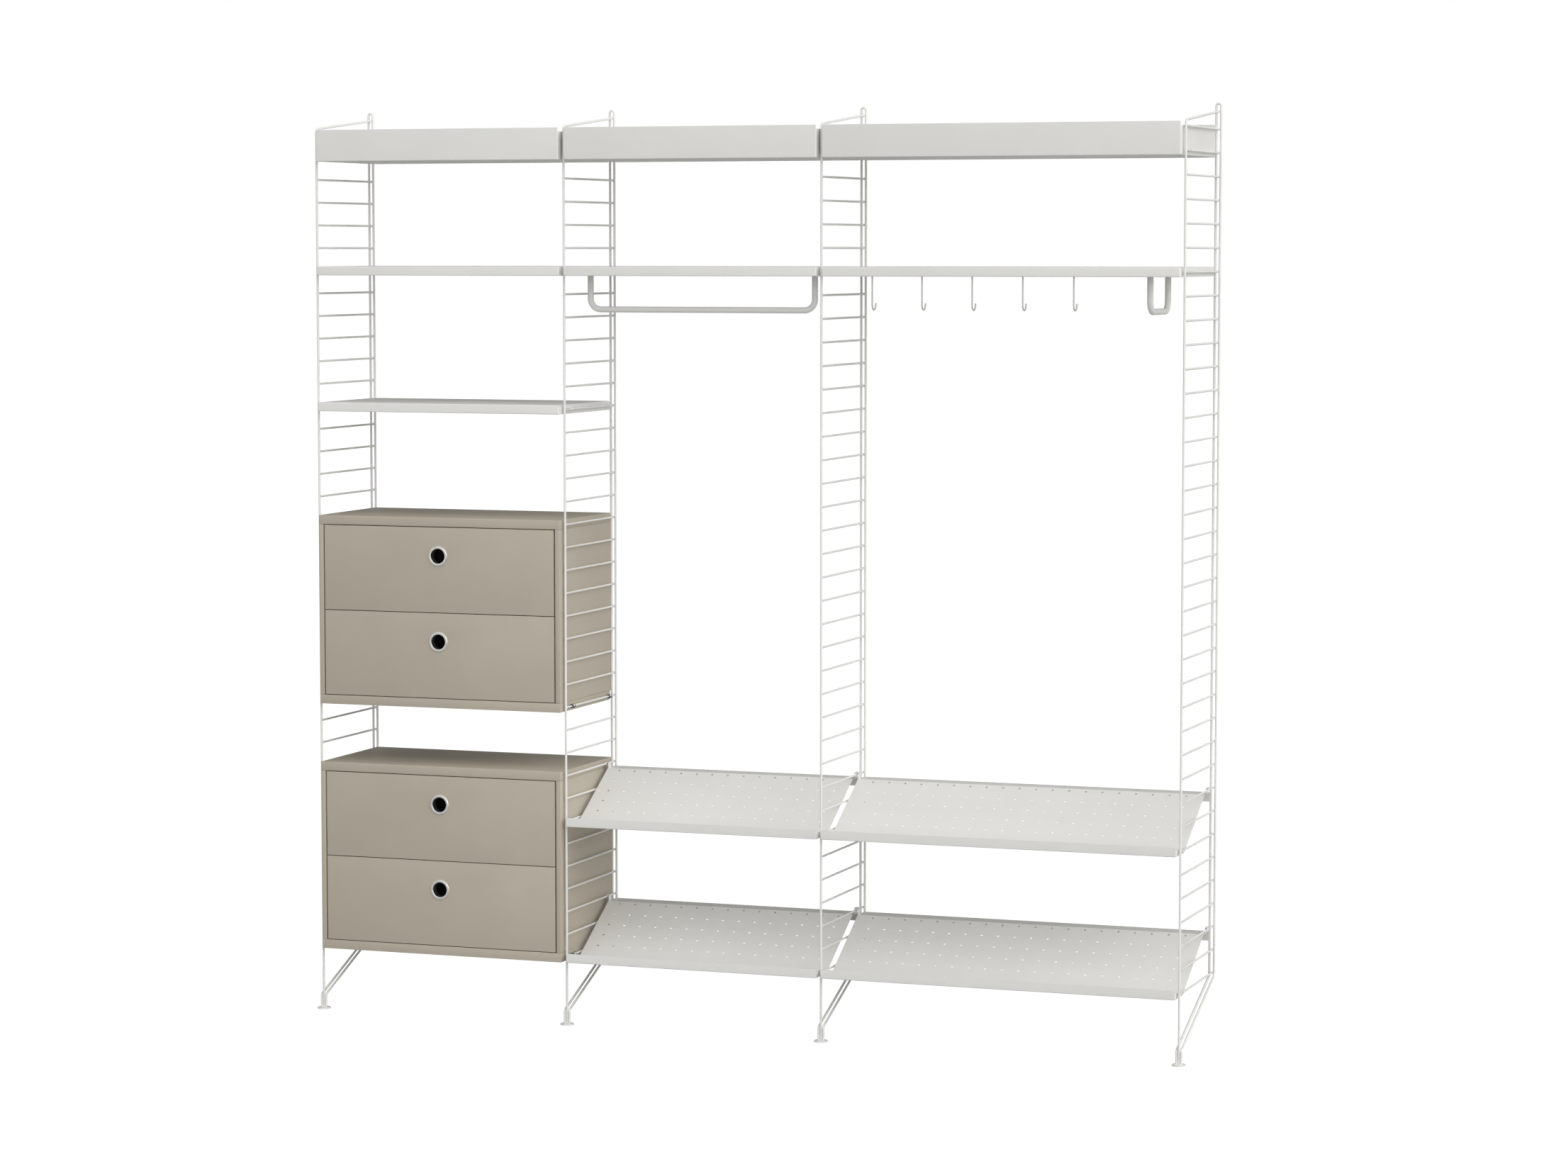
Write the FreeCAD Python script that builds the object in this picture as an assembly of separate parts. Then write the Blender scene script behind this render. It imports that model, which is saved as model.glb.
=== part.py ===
# Wall shelving system: four wire ladder panels that carry trays, shelves, sloped shoe shelves,
# drawer cabinets, two hanging rails and a row of coat hooks.
# Millimetres. +X is to the right, +Y towards the wall, +Z up.
# The origin is on the floor, at the middle of the unit's width and depth.
import FreeCAD, Part
import math
import os

Vector = FreeCAD.Vector
X_AXIS = Vector(1, 0, 0)
Y_AXIS = Vector(0, 1, 0)
Z_AXIS = Vector(0, 0, 1)

# Bays
small_shelf_width = 578.0
large_shelf_width = 778.0
end_gap = 6.0                    # end of a shelf to the panel's middle plane
front_overhang = 18.0            # front faces stand this far ahead of the front wire's axis
rear_setback = 3.5               # rear of a shelf to the axis of the rear wires

# Wire panels
rung_count = 37
rung_pitch = 50.0
lowest_rung_height = 150.0
wire_diameter = 5.0
rung_diameter = 4.5
panel_depth = 280.0              # front wire to the two rear wires
wire_gap = 0.1                   # front wire to the two wires that stand beside it at the foot
rung_tail = 2.2                  # rungs reach this far past the axes of the rear wires
weld_diameter = 3.0              # weld between a rung's tail and the rear wires beside it
front_bend_rise = 11.5           # top rung to the bend of the front wire
top_stay_rise = 37.0             # top rung to the end of the sloping top wire
hairpin_rise = 53.5              # top rung to the crown of the rear hairpin, on the axis
rear_bend_drop = 6.5             # lowest rung to the bend of the rear wires
brace_drop = 111.0               # fall of the braces from that bend to the foot
front_bend_radius = 10.0
brace_bend_radius = 9.0
foot_bend_radius = 8.0

# Feet
foot_diameter = 30.0
foot_thickness = 3.0
foot_edge_round = 0.8

# Sheet metal
sheet = 1.2
fold_radius = 2.0
shelf_edge = 20.0                # edge height of shelves, with the rung at half height
tray_front_height = 69.0
tray_side_height = 61.0
return_depth = 8.0
hem_height = 6.0

# Hanging tabs over the rungs
tab_width = 12.0
tab_lip_drop = 1.0               # lip's end below the rung's axis
tab_clearance = 0.1
left_tab_start = 13.0            # behind the front wire's axis, tab at a left end
right_tab_start = 33.0
left_shoe_tab_start = 5.0
right_shoe_tab_start = 20.0
rear_tab_margin = 20.0           # rear tab of a right end to the rear wires' surface
rear_tab_step = 14.0             # rear tab of a left end stands this far ahead of that

# Shoe shelves
shoe_base_depth = 72.0
shoe_ledge_depth = 48.0
shoe_rear_flange = 20.0
shoe_hole_diameter = 5.0
shoe_hole_pitch = 37.0
shoe_row_margin = 7.0            # least distance from the folds to a row of holes
shoe_column_margin = 28.0        # least distance from the ends to a column of holes
shoe_cheek_margin = 2.0          # end cheeks reach this far past their tabs

# Rails and hooks under the shelves
rail_diameter = 13.0
rail_wall = 1.5
rail_bend_radius = 23.5
rail_drop = 83.0                 # rung to the axis of the bar
clothes_rail_span = 517.0        # between the axes of its legs
clothes_rail_setback = 81.0      # front face of the shelf to the rail
end_rail_span = 147.0
end_rail_inset = 81.5            # right end of the shelf to the rail
magnet_diameter = 26.0
magnet_thickness = 4.0
magnet_edge_round = 0.6
hook_diameter = 3.2
hook_count = 5
hook_step = 110.0
hook_drop = 80.0                 # rung to the lowest point of the hook's axis
hook_radius = 12.0
hook_tip = 2.0
hook_back = 3.0                  # short limb in front of the hem
hook_clearance = 0.3

# Cabinets
board = 20.0                     # top and bottom boards
side_board = 11.0
back_board = 5.0
back_inset = 8.0
board_round = 1.2
notch_clearance = 0.4            # bottom board to the rear wires that bend forward beside it
drawer_gap = 1.6                 # above, below and between the drawer fronts
drawer_side_gap = 3.0
drawer_front_thickness = 16.0
drawer_front_round = 0.7
pull_drop = 63.1                 # top of a drawer front to the middle of its pull
pull_diameter = 44.0
pull_bore = 33.0
pull_tube_diameter = 36.6
pull_clearance = 0.1
pull_proud = 2.5
pull_outer_round = 1.4
pull_inner_round = 0.9
drawer_board = 12.0
drawer_side_height = 140.0
drawer_side_rise = 16.0          # bottom of a drawer front to its box
drawer_bottom_rise = 8.0
drawer_bottom_thickness = 4.0
drawer_rear_clearance = 17.0

# Drawer runners: a bar on the drawer in a channel on the cabinet
runner_gap = 12.0                # cabinet side to drawer side
runner_wall = 1.2
runner_depth = 10.4
runner_bar_height = 12.0
runner_play = 0.4
runner_rise = 44.0               # bottom of the drawer box to the middle of the bar
runner_front_setback = 4.0
runner_rear_clearance = 6.0

# Cabinet clips on the rungs
strap_width = 7.0
strap = 1.5
strap_foot = 9.0                 # plate on the cabinet below the rung's axis
sleeve_length = 3.0
sleeve_wall = 2.1
sleeve_play = 0.25
clip_screw_diameter = 3.0
clip_screw_length = 16.0
clip_screw_head_diameter = 5.6
clip_screw_head = 1.6
clip_screw_drop = 6.0
screw_clearance = 0.1

# Modelling allowances
mm3_per_cm3 = 1000
overrun = 1.0
least_run = 1e-6

# Places that follow from the sizes above
bay_widths = (small_shelf_width, small_shelf_width, large_shelf_width)
bay_pitches = [width + 2 * end_gap for width in bay_widths]
unit_width = sum(bay_pitches)
panel_x = [sum(bay_pitches[:count]) - unit_width / 2 for count in range(len(bay_pitches) + 1)]
wire_r = wire_diameter / 2
rung_r = rung_diameter / 2
unit_depth = pull_proud + front_overhang + panel_depth + wire_r
wall_y = unit_depth / 2
rear_wire_y = wall_y - wire_r
front_wire_y = rear_wire_y - panel_depth
shelf_front = front_wire_y - front_overhang
shelf_rear = rear_wire_y - rear_setback

# Rungs, counted from the top, that carry each piece
tray_rung = 1
shelf_rung = 6
low_shelf_rung = 12
upper_cabinet_rungs = (17, 25)
lower_cabinet_rungs = (28, 36)
upper_shoe_rungs = (28, 30)
lower_shoe_rungs = (34, 36)


def rung_z(index):
    """Height of a rung's axis above the floor, counted from the top rung, which is 0."""
    return lowest_rung_height + rung_pitch * (rung_count - 1 - index)


def bay_ends(bay):
    """Left and right end of a shelf in that bay."""
    return panel_x[bay] + end_gap, panel_x[bay + 1] - end_gap


def block(x_pair, y_pair, z_pair):
    """A box between two values on each axis, given in either order."""
    low = Vector(min(x_pair), min(y_pair), min(z_pair))
    high = Vector(max(x_pair), max(y_pair), max(z_pair))
    size = high - low
    return Part.makeBox(size.x, size.y, size.z, low)


def edges_along(shape, axis):
    """The straight edges of a shape that run along an axis."""
    found = []
    for edge in shape.Edges:
        run = edge.Vertexes[-1].Point - edge.Vertexes[0].Point
        if run.Length > least_run and abs(abs(run.dot(axis)) - run.Length) < least_run:
            found.append(edge)
    return found


def edges_at_height(shape, z):
    """The edges of a shape that lie wholly at one height."""
    return [e for e in shape.Edges if all(abs(v.Point.z - z) < least_run for v in e.Vertexes)]


def unit(vector):
    """The vector at length one."""
    return vector * (1 / vector.Length)


def rounded_path(points, radii):
    """Straight runs through the points, with a tangent arc of its own radius at each inner point."""
    edges = []
    start = points[0]
    for before, corner, after, radius in zip(points, points[1:], points[2:], radii):
        back = unit(before - corner)
        onward = unit(after - corner)
        half = math.acos(back.dot(onward)) / 2
        inward = unit(back + onward)
        first = corner + back * (radius / math.tan(half))
        last = corner + onward * (radius / math.tan(half))
        middle = corner + inward * (radius / math.sin(half) - radius)
        if (first - start).Length > least_run:
            edges.append(Part.LineSegment(start, first).toShape())
        edges.append(Part.Arc(first, middle, last).toShape())
        start = last
    edges.append(Part.LineSegment(start, points[-1]).toShape())
    return Part.Wire(edges)


def rod(points, radii, diameter):
    """A round rod bent along the points."""
    path = rounded_path(points, radii)
    section = Part.Wire(Part.makeCircle(diameter / 2, points[0], unit(points[1] - points[0])))
    return path.makePipeShell([section], True, False)


def tube(points, radii, diameter, wall):
    """A round tube bent along the points, open at both ends."""
    return rod(points, radii, diameter).cut(rod(points, radii, diameter - 2 * wall))


def save(name, solids):
    """Write one node: a single solid or a group of them."""
    shape = solids[0] if len(solids) == 1 else Part.makeCompound(solids)
    valid = all(s.isValid() and len(s.Solids) == 1 for s in solids)
    state = "valid" if valid else "NOT VALID"
    print(f"{name}: {len(solids)} solid(s), {shape.Volume / mm3_per_cm3:.1f} cm3, {state}")
    shape.exportStep(f"parts/{name}.step")


def wire_panel():
    """One welded panel: the front wire with its top stay, the rear hairpin with its braces, the rungs."""
    top = rung_z(0)
    crown = top + hairpin_rise
    rear_bend = rung_z(rung_count - 1) - rear_bend_drop
    foot_bend = rear_bend - brace_drop
    side = wire_diameter + wire_gap
    front = rod(
        [
            Vector(0, front_wire_y, foot_thickness),
            Vector(0, front_wire_y, top + front_bend_rise),
            Vector(0, rear_wire_y, top + top_stay_rise),
        ],
        [front_bend_radius],
        wire_diameter,
    )
    hairpin = rod(
        [
            Vector(-side, front_wire_y, foot_thickness),
            Vector(-side, front_wire_y, foot_bend),
            Vector(-side, rear_wire_y, rear_bend),
            Vector(-side, rear_wire_y, crown),
            Vector(side, rear_wire_y, crown),
            Vector(side, rear_wire_y, rear_bend),
            Vector(side, front_wire_y, foot_bend),
            Vector(side, front_wire_y, foot_thickness),
        ],
        [foot_bend_radius, brace_bend_radius, side, side, brace_bend_radius, foot_bend_radius],
        wire_diameter,
    )
    rungs = [
        Part.makeCylinder(rung_r, panel_depth + rung_tail, Vector(0, front_wire_y, rung_z(index)), Y_AXIS)
        for index in range(rung_count)
    ]
    weld_heights = [rung_z(index) for index in range(rung_count)] + [top + top_stay_rise]
    welds = [
        Part.makeCylinder(weld_diameter / 2, 2 * side, Vector(-side, rear_wire_y, z), X_AXIS)
        for z in weld_heights
    ]
    return front.multiFuse([hairpin] + rungs + welds).Solids[0]


def foot_plate(x):
    """Round plate under the three wires of a panel's foot."""
    plate = Part.makeCylinder(foot_diameter / 2, foot_thickness, Vector(x, front_wire_y, 0))
    return plate.makeFillet(foot_edge_round, edges_at_height(plate, foot_thickness))


def hanging_tab(end_x, rung_x, tab_start, z):
    """A tab bent out of a shelf's end, over the rung and down its far side."""
    side = 1 if rung_x > end_x else -1
    reach = rung_x + side * (rung_r + tab_clearance)
    tip = reach + side * sheet
    under = z + rung_r + tab_clearance
    run = (tab_start, tab_start + tab_width)
    arm = block((end_x - side * sheet, tip), run, (under, under + sheet))
    lip = block((reach, tip), run, (z - tab_lip_drop, under))
    return arm.fuse(lip)


def rear_tab_starts():
    """Where the rear tabs of a left and of a right end start."""
    right = rear_wire_y - wire_r - rear_tab_margin - tab_width
    return right - rear_tab_step, right


def shelf_tabs(bay, rung):
    """The four tabs of a tray or shelf that hangs on one rung."""
    left, right = bay_ends(bay)
    rear_left, rear_right = rear_tab_starts()
    z = rung_z(rung)
    return [
        hanging_tab(left, panel_x[bay], front_wire_y + left_tab_start, z),
        hanging_tab(left, panel_x[bay], rear_left, z),
        hanging_tab(right, panel_x[bay + 1], front_wire_y + right_tab_start, z),
        hanging_tab(right, panel_x[bay + 1], rear_right, z),
    ]


def tray(bay):
    """Folded tray with tall front and rear walls and slightly lower ends."""
    left, right = bay_ends(bay)
    base = rung_z(tray_rung) - shelf_edge / 2
    top = base + tray_front_height
    body = block((left, right), (shelf_front, shelf_rear), (base, top))
    body = body.makeFillet(fold_radius, edges_along(body, Z_AXIS) + edges_at_height(body, base))
    inside = (shelf_front + sheet, shelf_rear - sheet)
    body = body.cut(block((left + sheet, right - sheet), inside, (base + sheet, top + overrun)))
    clear_above = (base + tray_side_height, top + overrun)
    body = body.cut(block((left - overrun, right + overrun), inside, clear_above))
    return body.multiFuse(shelf_tabs(bay, tray_rung)).Solids[0]


def low_shelf(bay, rung):
    """Flat shelf with its edges folded down and a hemmed return along front and rear."""
    left, right = bay_ends(bay)
    base = rung_z(rung) - shelf_edge / 2
    top = base + shelf_edge
    body = block((left, right), (shelf_front, shelf_rear), (base, top))
    body = body.makeFillet(fold_radius, edges_along(body, Z_AXIS) + edges_at_height(body, top))
    between = (left + sheet, right - sheet)
    cavity = block(between, (shelf_front + sheet, shelf_rear - sheet), (base - overrun, top - sheet))
    body = body.cut(cavity)
    folds = []
    for edge, inward in ((shelf_front, 1), (shelf_rear, -1)):
        hem = edge + inward * return_depth
        folds.append(block(between, (edge + inward * sheet, hem), (base, base + sheet)))
        folds.append(block(between, (hem - inward * sheet, hem), (base + sheet, base + hem_height)))
    return body.multiFuse(folds + shelf_tabs(bay, rung)).Solids[0]


def folded_sheet(points, width, x):
    """A sheet as wide as a shelf that follows the points (y, z), with its thickness on their left."""
    runs = [unit(b - a) for a, b in zip(points, points[1:])]
    sides = [Vector(0, -run.z, run.y) for run in runs]
    offsets = [points[0] + sides[0] * sheet]
    for point, before, after in zip(points[1:], sides, sides[1:]):
        offsets.append(point + (before + after) * (sheet / (1 + before.dot(after))))
    offsets.append(points[-1] + sides[-1] * sheet)
    outline = [point + X_AXIS * x for point in points + offsets[::-1]]
    outline.append(outline[0])
    return Part.Face(Part.makePolygon(outline)).extrude(X_AXIS * width)


def round_folds(body, points, radius):
    """Round the edges across the sheet that pass through the given fold points."""
    folds = []
    for edge in edges_along(body, X_AXIS):
        place = edge.Vertexes[0].Point
        if any(math.hypot(place.y - p.y, place.z - p.z) < least_run for p in points):
            folds.append(edge)
    return body.makeFillet(radius, folds)


def shoe_shelf(bay, rungs):
    """Sloped perforated shelf: front lip and base strip, slope, rear ledge and rear flange."""
    left, right = bay_ends(bay)
    width = right - left
    rear_rung, front_rung = (rung_z(index) for index in rungs)
    base = front_rung - shelf_edge / 2
    ledge = rear_rung - shelf_edge / 2
    lip_top = Vector(0, shelf_front, base + shelf_edge)
    front_fold = Vector(0, shelf_front, base)
    slope_start = Vector(0, shelf_front + shoe_base_depth, base)
    slope_end = Vector(0, shelf_rear - shoe_ledge_depth, ledge)
    rear_fold = Vector(0, shelf_rear - sheet, ledge)
    flange_end = Vector(0, shelf_rear - sheet, ledge - shoe_rear_flange)
    line = [lip_top, front_fold, slope_start, slope_end, rear_fold, flange_end]
    body = folded_sheet(line, width, left)
    body = round_folds(body, [front_fold, slope_start], fold_radius)

    slope = slope_end - slope_start
    normal = unit(Vector(0, -slope.z, slope.y))
    row_steps = int((slope.Length - 2 * shoe_row_margin) / shoe_hole_pitch)
    column_steps = int((width - 2 * shoe_column_margin) / shoe_hole_pitch)
    middle = (slope_start + slope_end) * 0.5 + X_AXIS * ((left + right) / 2) - normal * overrun
    holes = []
    for row in range(row_steps + 1):
        on_slope = middle + unit(slope) * (shoe_hole_pitch * (row - row_steps / 2))
        for column in range(column_steps + 1):
            place = on_slope + X_AXIS * (shoe_hole_pitch * (column - column_steps / 2))
            holes.append(Part.makeCylinder(shoe_hole_diameter / 2, sheet + 2 * overrun, place, normal))
    body = body.cut(Part.makeCompound(holes))

    tab_top = rung_r + tab_clearance + sheet
    rear_left, rear_right = rear_tab_starts()
    ends = (
        (left, panel_x[bay], 1, front_wire_y + left_shoe_tab_start, rear_left),
        (right, panel_x[bay + 1], -1, front_wire_y + right_shoe_tab_start, rear_right),
    )
    pieces = []
    for end_x, rung_x, inward, front_tab, rear_tab in ends:
        thickness = (end_x, end_x + inward * sheet)
        cheek_end = front_tab + tab_width + shoe_cheek_margin
        pieces.append(block(thickness, (shelf_front, cheek_end), (base, front_rung + tab_top)))
        upstand = (rear_tab - shoe_cheek_margin, rear_tab + tab_width + shoe_cheek_margin)
        pieces.append(block(thickness, upstand, (ledge, rear_rung + tab_top)))
        pieces.append(hanging_tab(end_x, rung_x, front_tab, front_rung))
        pieces.append(hanging_tab(end_x, rung_x, rear_tab, rear_rung))
    return body.multiFuse(pieces).Solids[0]


def rail_places():
    """Legs of the clothes rail and of the end rail: two points each at the height of the shelf's rung."""
    z = rung_z(shelf_rung)
    middle = sum(bay_ends(1)) / 2
    clothes_y = shelf_front + clothes_rail_setback
    end_x = bay_ends(2)[1] - end_rail_inset
    end_y = (shelf_front + shelf_rear) / 2
    clothes = [Vector(middle + side * clothes_rail_span / 2, clothes_y, z) for side in (-1, 1)]
    end = [Vector(end_x, end_y + side * end_rail_span / 2, z) for side in (-1, 1)]
    return clothes, end


def hanging_rail(legs):
    """U-shaped tube that hangs from two magnet feet under a shelf."""
    top = Z_AXIS * (shelf_edge / 2 - sheet - magnet_thickness)
    drop = Z_AXIS * rail_drop
    points = [legs[0] + top, legs[0] - drop, legs[1] - drop, legs[1] + top]
    return tube(points, [rail_bend_radius, rail_bend_radius], rail_diameter, rail_wall)


def magnet_foot(leg):
    """Round magnet foot between a rail's leg and the underside of the shelf."""
    base = leg + Z_AXIS * (shelf_edge / 2 - sheet - magnet_thickness)
    foot = Part.makeCylinder(magnet_diameter / 2, magnet_thickness, base)
    return foot.makeFillet(magnet_edge_round, edges_at_height(foot, base.z))


def coat_hook(x):
    """Bent wire hook that hangs on the hem behind the shelf's front edge."""
    z = rung_z(shelf_rung)
    hem_rear = shelf_front + return_depth
    crook = sheet / 2 + hook_clearance + hook_diameter / 2
    shank_y = hem_rear - sheet / 2 + crook
    back_y = hem_rear - sheet / 2 - crook
    hem_top = z - shelf_edge / 2 + hem_height
    crown = hem_top + hook_clearance + hook_diameter / 2
    bottom = z - hook_drop
    points = [
        Vector(x, back_y, crown - crook - hook_back),
        Vector(x, back_y, crown),
        Vector(x, shank_y, crown),
        Vector(x, shank_y, bottom),
        Vector(x, shank_y + 2 * hook_radius, bottom),
        Vector(x, shank_y + 2 * hook_radius, bottom + hook_radius + hook_tip),
    ]
    return rod(points, [crook, crook, hook_radius, hook_radius], hook_diameter)


def clip_windows(side):
    """Start of the front and the rear clip on a cabinet's left (-1) or right (1) side."""
    front = left_tab_start if side < 0 else right_tab_start
    return front_wire_y + front, rear_tab_starts()[1]


def cabinet_clips(bottom_rung):
    """Straps, rubber sleeves and screws that hang a cabinet on its lower rung."""
    z = rung_z(bottom_rung)
    left, right = bay_ends(0)
    straps, sleeves, screws = [], [], []
    for side, end_x, rung_x in ((-1, left, panel_x[0]), (1, right, panel_x[1])):
        for start in clip_windows(side):
            middle = start + tab_width / 2
            run = (middle - strap_width / 2, middle + strap_width / 2)
            reach = rung_x + side * (rung_r + tab_clearance)
            tip = reach + side * strap
            under = z + rung_r + tab_clearance
            plate_face = end_x + side * strap
            plate = block((end_x, plate_face), run, (z - strap_foot, under + strap))
            arm = block((plate_face, tip), run, (under, under + strap))
            lip = block((reach, tip), run, (z - tab_lip_drop, under))
            screw_z = z - clip_screw_drop
            hole_start = Vector(end_x - side * overrun, middle, screw_z)
            hole = Part.makeCylinder(
                clip_screw_diameter / 2 + screw_clearance, strap + 2 * overrun, hole_start, X_AXIS * side
            )
            straps.append(plate.multiFuse([arm, lip]).cut(hole).Solids[0])
            head_start = Vector(plate_face, middle, screw_z)
            head = Part.makeCylinder(clip_screw_head_diameter / 2, clip_screw_head, head_start, X_AXIS * side)
            shank = Part.makeCylinder(clip_screw_diameter / 2, clip_screw_length, head_start, X_AXIS * -side)
            screws.append(head.fuse(shank).Solids[0])
            for sleeve_y in (run[0] - sleeve_play - sleeve_length, run[1] + sleeve_play):
                place = Vector(rung_x, sleeve_y, z)
                bore = rung_r + tab_clearance
                ring = Part.makeCylinder(bore + sleeve_wall, sleeve_length, place, Y_AXIS)
                sleeves.append(ring.cut(Part.makeCylinder(bore, sleeve_length, place, Y_AXIS)))
    return straps, sleeves, screws


def rounded_board(x_pair, y_pair, z_pair, radius):
    """A board with all its edges softened."""
    body = block(x_pair, y_pair, z_pair)
    return body.makeFillet(radius, body.Edges)


def cabinet(prefix, rungs):
    """The carcass of a cabinet and the runner channels inside it; the drawers follow."""
    top_z, bottom_z = (rung_z(index) for index in rungs)
    left, right = bay_ends(0)
    depth = (shelf_front, shelf_rear)
    opening = (bottom_z + board / 2, top_z - board / 2)
    top = rounded_board((left, right), depth, (opening[1], opening[1] + board), board_round)
    bottom = rounded_board((left, right), depth, (opening[0] - board, opening[0]), board_round)
    for side, end_x in ((-1, left), (1, right)):
        for start in clip_windows(side):
            place = Vector(end_x + side * overrun, start + tab_width / 2, bottom_z - clip_screw_drop)
            pilot = Part.makeCylinder(
                clip_screw_diameter / 2 + screw_clearance, clip_screw_length + overrun, place, X_AXIS * -side
            )
            bottom = bottom.cut(pilot)
    for notch in wire_notches((left, right), (opening[0] - board, opening[0])):
        bottom = bottom.cut(notch)
    save(f"{prefix}_cabinet_top", [top])
    save(f"{prefix}_cabinet_bottom", [bottom])
    inner = (left + side_board, right - side_board)
    save(f"{prefix}_cabinet_left_side", [side_panel((left, inner[0]), opening)])
    save(f"{prefix}_cabinet_right_side", [side_panel((inner[1], right), opening)])
    back_rear = shelf_rear - back_inset
    save(f"{prefix}_cabinet_back", [block(inner, (back_rear - back_board, back_rear), opening)])

    front_height = (opening[1] - opening[0] - 3 * drawer_gap) / 2
    channels = []
    for level, name in ((1, "upper"), (0, "lower")):
        floor = opening[0] + drawer_gap + level * (front_height + drawer_gap)
        channels += drawer(f"{prefix}_cabinet_{name}_drawer", inner, floor, front_height)
    save(f"{prefix}_cabinet_runners", channels)


def wire_notches(ends, heights):
    """Cuts at the rear corners of a bottom board, where the rear wires bend forward beside it."""
    fall = brace_drop / panel_depth
    wire_top = board / 2 - rear_bend_drop + wire_r * math.hypot(1, fall)
    length = wire_top / fall - rear_setback + notch_clearance
    width = wire_diameter + wire_gap + wire_r + notch_clearance - end_gap
    if min(length, width) <= 0:
        return []
    y_pair = (shelf_rear - length, shelf_rear + overrun)
    z_pair = (heights[0] - overrun, heights[1] + overrun)
    return [
        block((ends[0] - overrun, ends[0] + width), y_pair, z_pair),
        block((ends[1] + overrun, ends[1] - width), y_pair, z_pair),
    ]


def side_panel(x_pair, opening):
    """Side board between the top and bottom boards, with softened upright edges."""
    body = block(x_pair, (shelf_front, shelf_rear), opening)
    return body.makeFillet(board_round, edges_along(body, Z_AXIS))


def drawer(prefix, inner, floor, height):
    """Save the pieces of one drawer and return the two channels that carry it."""
    front_x = (inner[0] + drawer_side_gap, inner[1] - drawer_side_gap)
    front_rear = shelf_front + drawer_front_thickness
    face = rounded_board(front_x, (shelf_front, front_rear), (floor, floor + height), drawer_front_round)
    pull_centre = Vector(sum(inner) / 2, shelf_front, floor + height - pull_drop)
    hole_r = pull_tube_diameter / 2 + pull_clearance
    hole_start = pull_centre - Y_AXIS * overrun
    hole = Part.makeCylinder(hole_r, drawer_front_thickness + 2 * overrun, hole_start, Y_AXIS)
    save(f"{prefix}_front", [face.cut(hole)])
    save(f"{prefix}_pull", [ring_pull(pull_centre)])

    box_x = (inner[0] + runner_gap, inner[1] - runner_gap)
    box_rear = shelf_rear - back_inset - back_board - drawer_rear_clearance
    box_z = floor + drawer_side_rise
    heights = (box_z, box_z + drawer_side_height)
    between = (box_x[0] + drawer_board, box_x[1] - drawer_board)
    left = block((box_x[0], between[0]), (front_rear, box_rear), heights)
    right = block((between[1], box_x[1]), (front_rear, box_rear), heights)
    back = block(between, (box_rear - drawer_board, box_rear), heights)
    save(f"{prefix}_box", [left, right, back])
    base = box_z + drawer_bottom_rise
    base_heights = (base, base + drawer_bottom_thickness)
    save(f"{prefix}_bottom", [block(between, (front_rear, box_rear - drawer_board), base_heights)])

    middle = box_z + runner_rise
    bar_z = (middle - runner_bar_height / 2, middle + runner_bar_height / 2)
    bar_front = front_rear + runner_front_setback
    bars = [
        block((box_x[0], inner[0] + runner_wall + runner_play), (bar_front, box_rear), bar_z),
        block((box_x[1], inner[1] - runner_wall - runner_play), (bar_front, box_rear), bar_z),
    ]
    save(f"{prefix}_runners", bars)

    channel_rear = shelf_rear - back_inset - back_board - runner_rear_clearance
    length = (bar_front, channel_rear)
    half = runner_bar_height / 2 + runner_play
    channels = []
    for wall_x, inward in ((inner[0], 1), (inner[1], -1)):
        outer = block(
            (wall_x, wall_x + inward * runner_depth),
            length,
            (middle - half - runner_wall, middle + half + runner_wall),
        )
        groove = block(
            (wall_x + inward * runner_wall, wall_x + inward * (runner_depth + overrun)),
            (bar_front - overrun, channel_rear + overrun),
            (middle - half, middle + half),
        )
        channels.append(outer.cut(groove))
    return channels


def ring_pull(centre):
    """Metal ring that lines the finger hole of a drawer front."""
    face = centre - Y_AXIS * pull_proud
    flange = Part.makeCylinder(pull_diameter / 2, pull_proud, face, Y_AXIS)
    sleeve = Part.makeCylinder(pull_tube_diameter / 2, pull_proud + drawer_front_thickness, face, Y_AXIS)
    bore_length = pull_proud + drawer_front_thickness + 2 * overrun
    bore = Part.makeCylinder(pull_bore / 2, bore_length, face - Y_AXIS * overrun, Y_AXIS)
    ring = flange.fuse(sleeve).cut(bore)
    for diameter, radius in ((pull_diameter, pull_outer_round), (pull_bore, pull_inner_round)):
        rim = [
            e for e in ring.Edges
            if len(e.Vertexes) == 1
            and abs(e.Vertexes[0].Point.y - face.y) < least_run
            and abs(e.Curve.Radius - diameter / 2) < least_run
        ]
        ring = ring.makeFillet(radius, rim)
    return ring.Solids[0]


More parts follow.
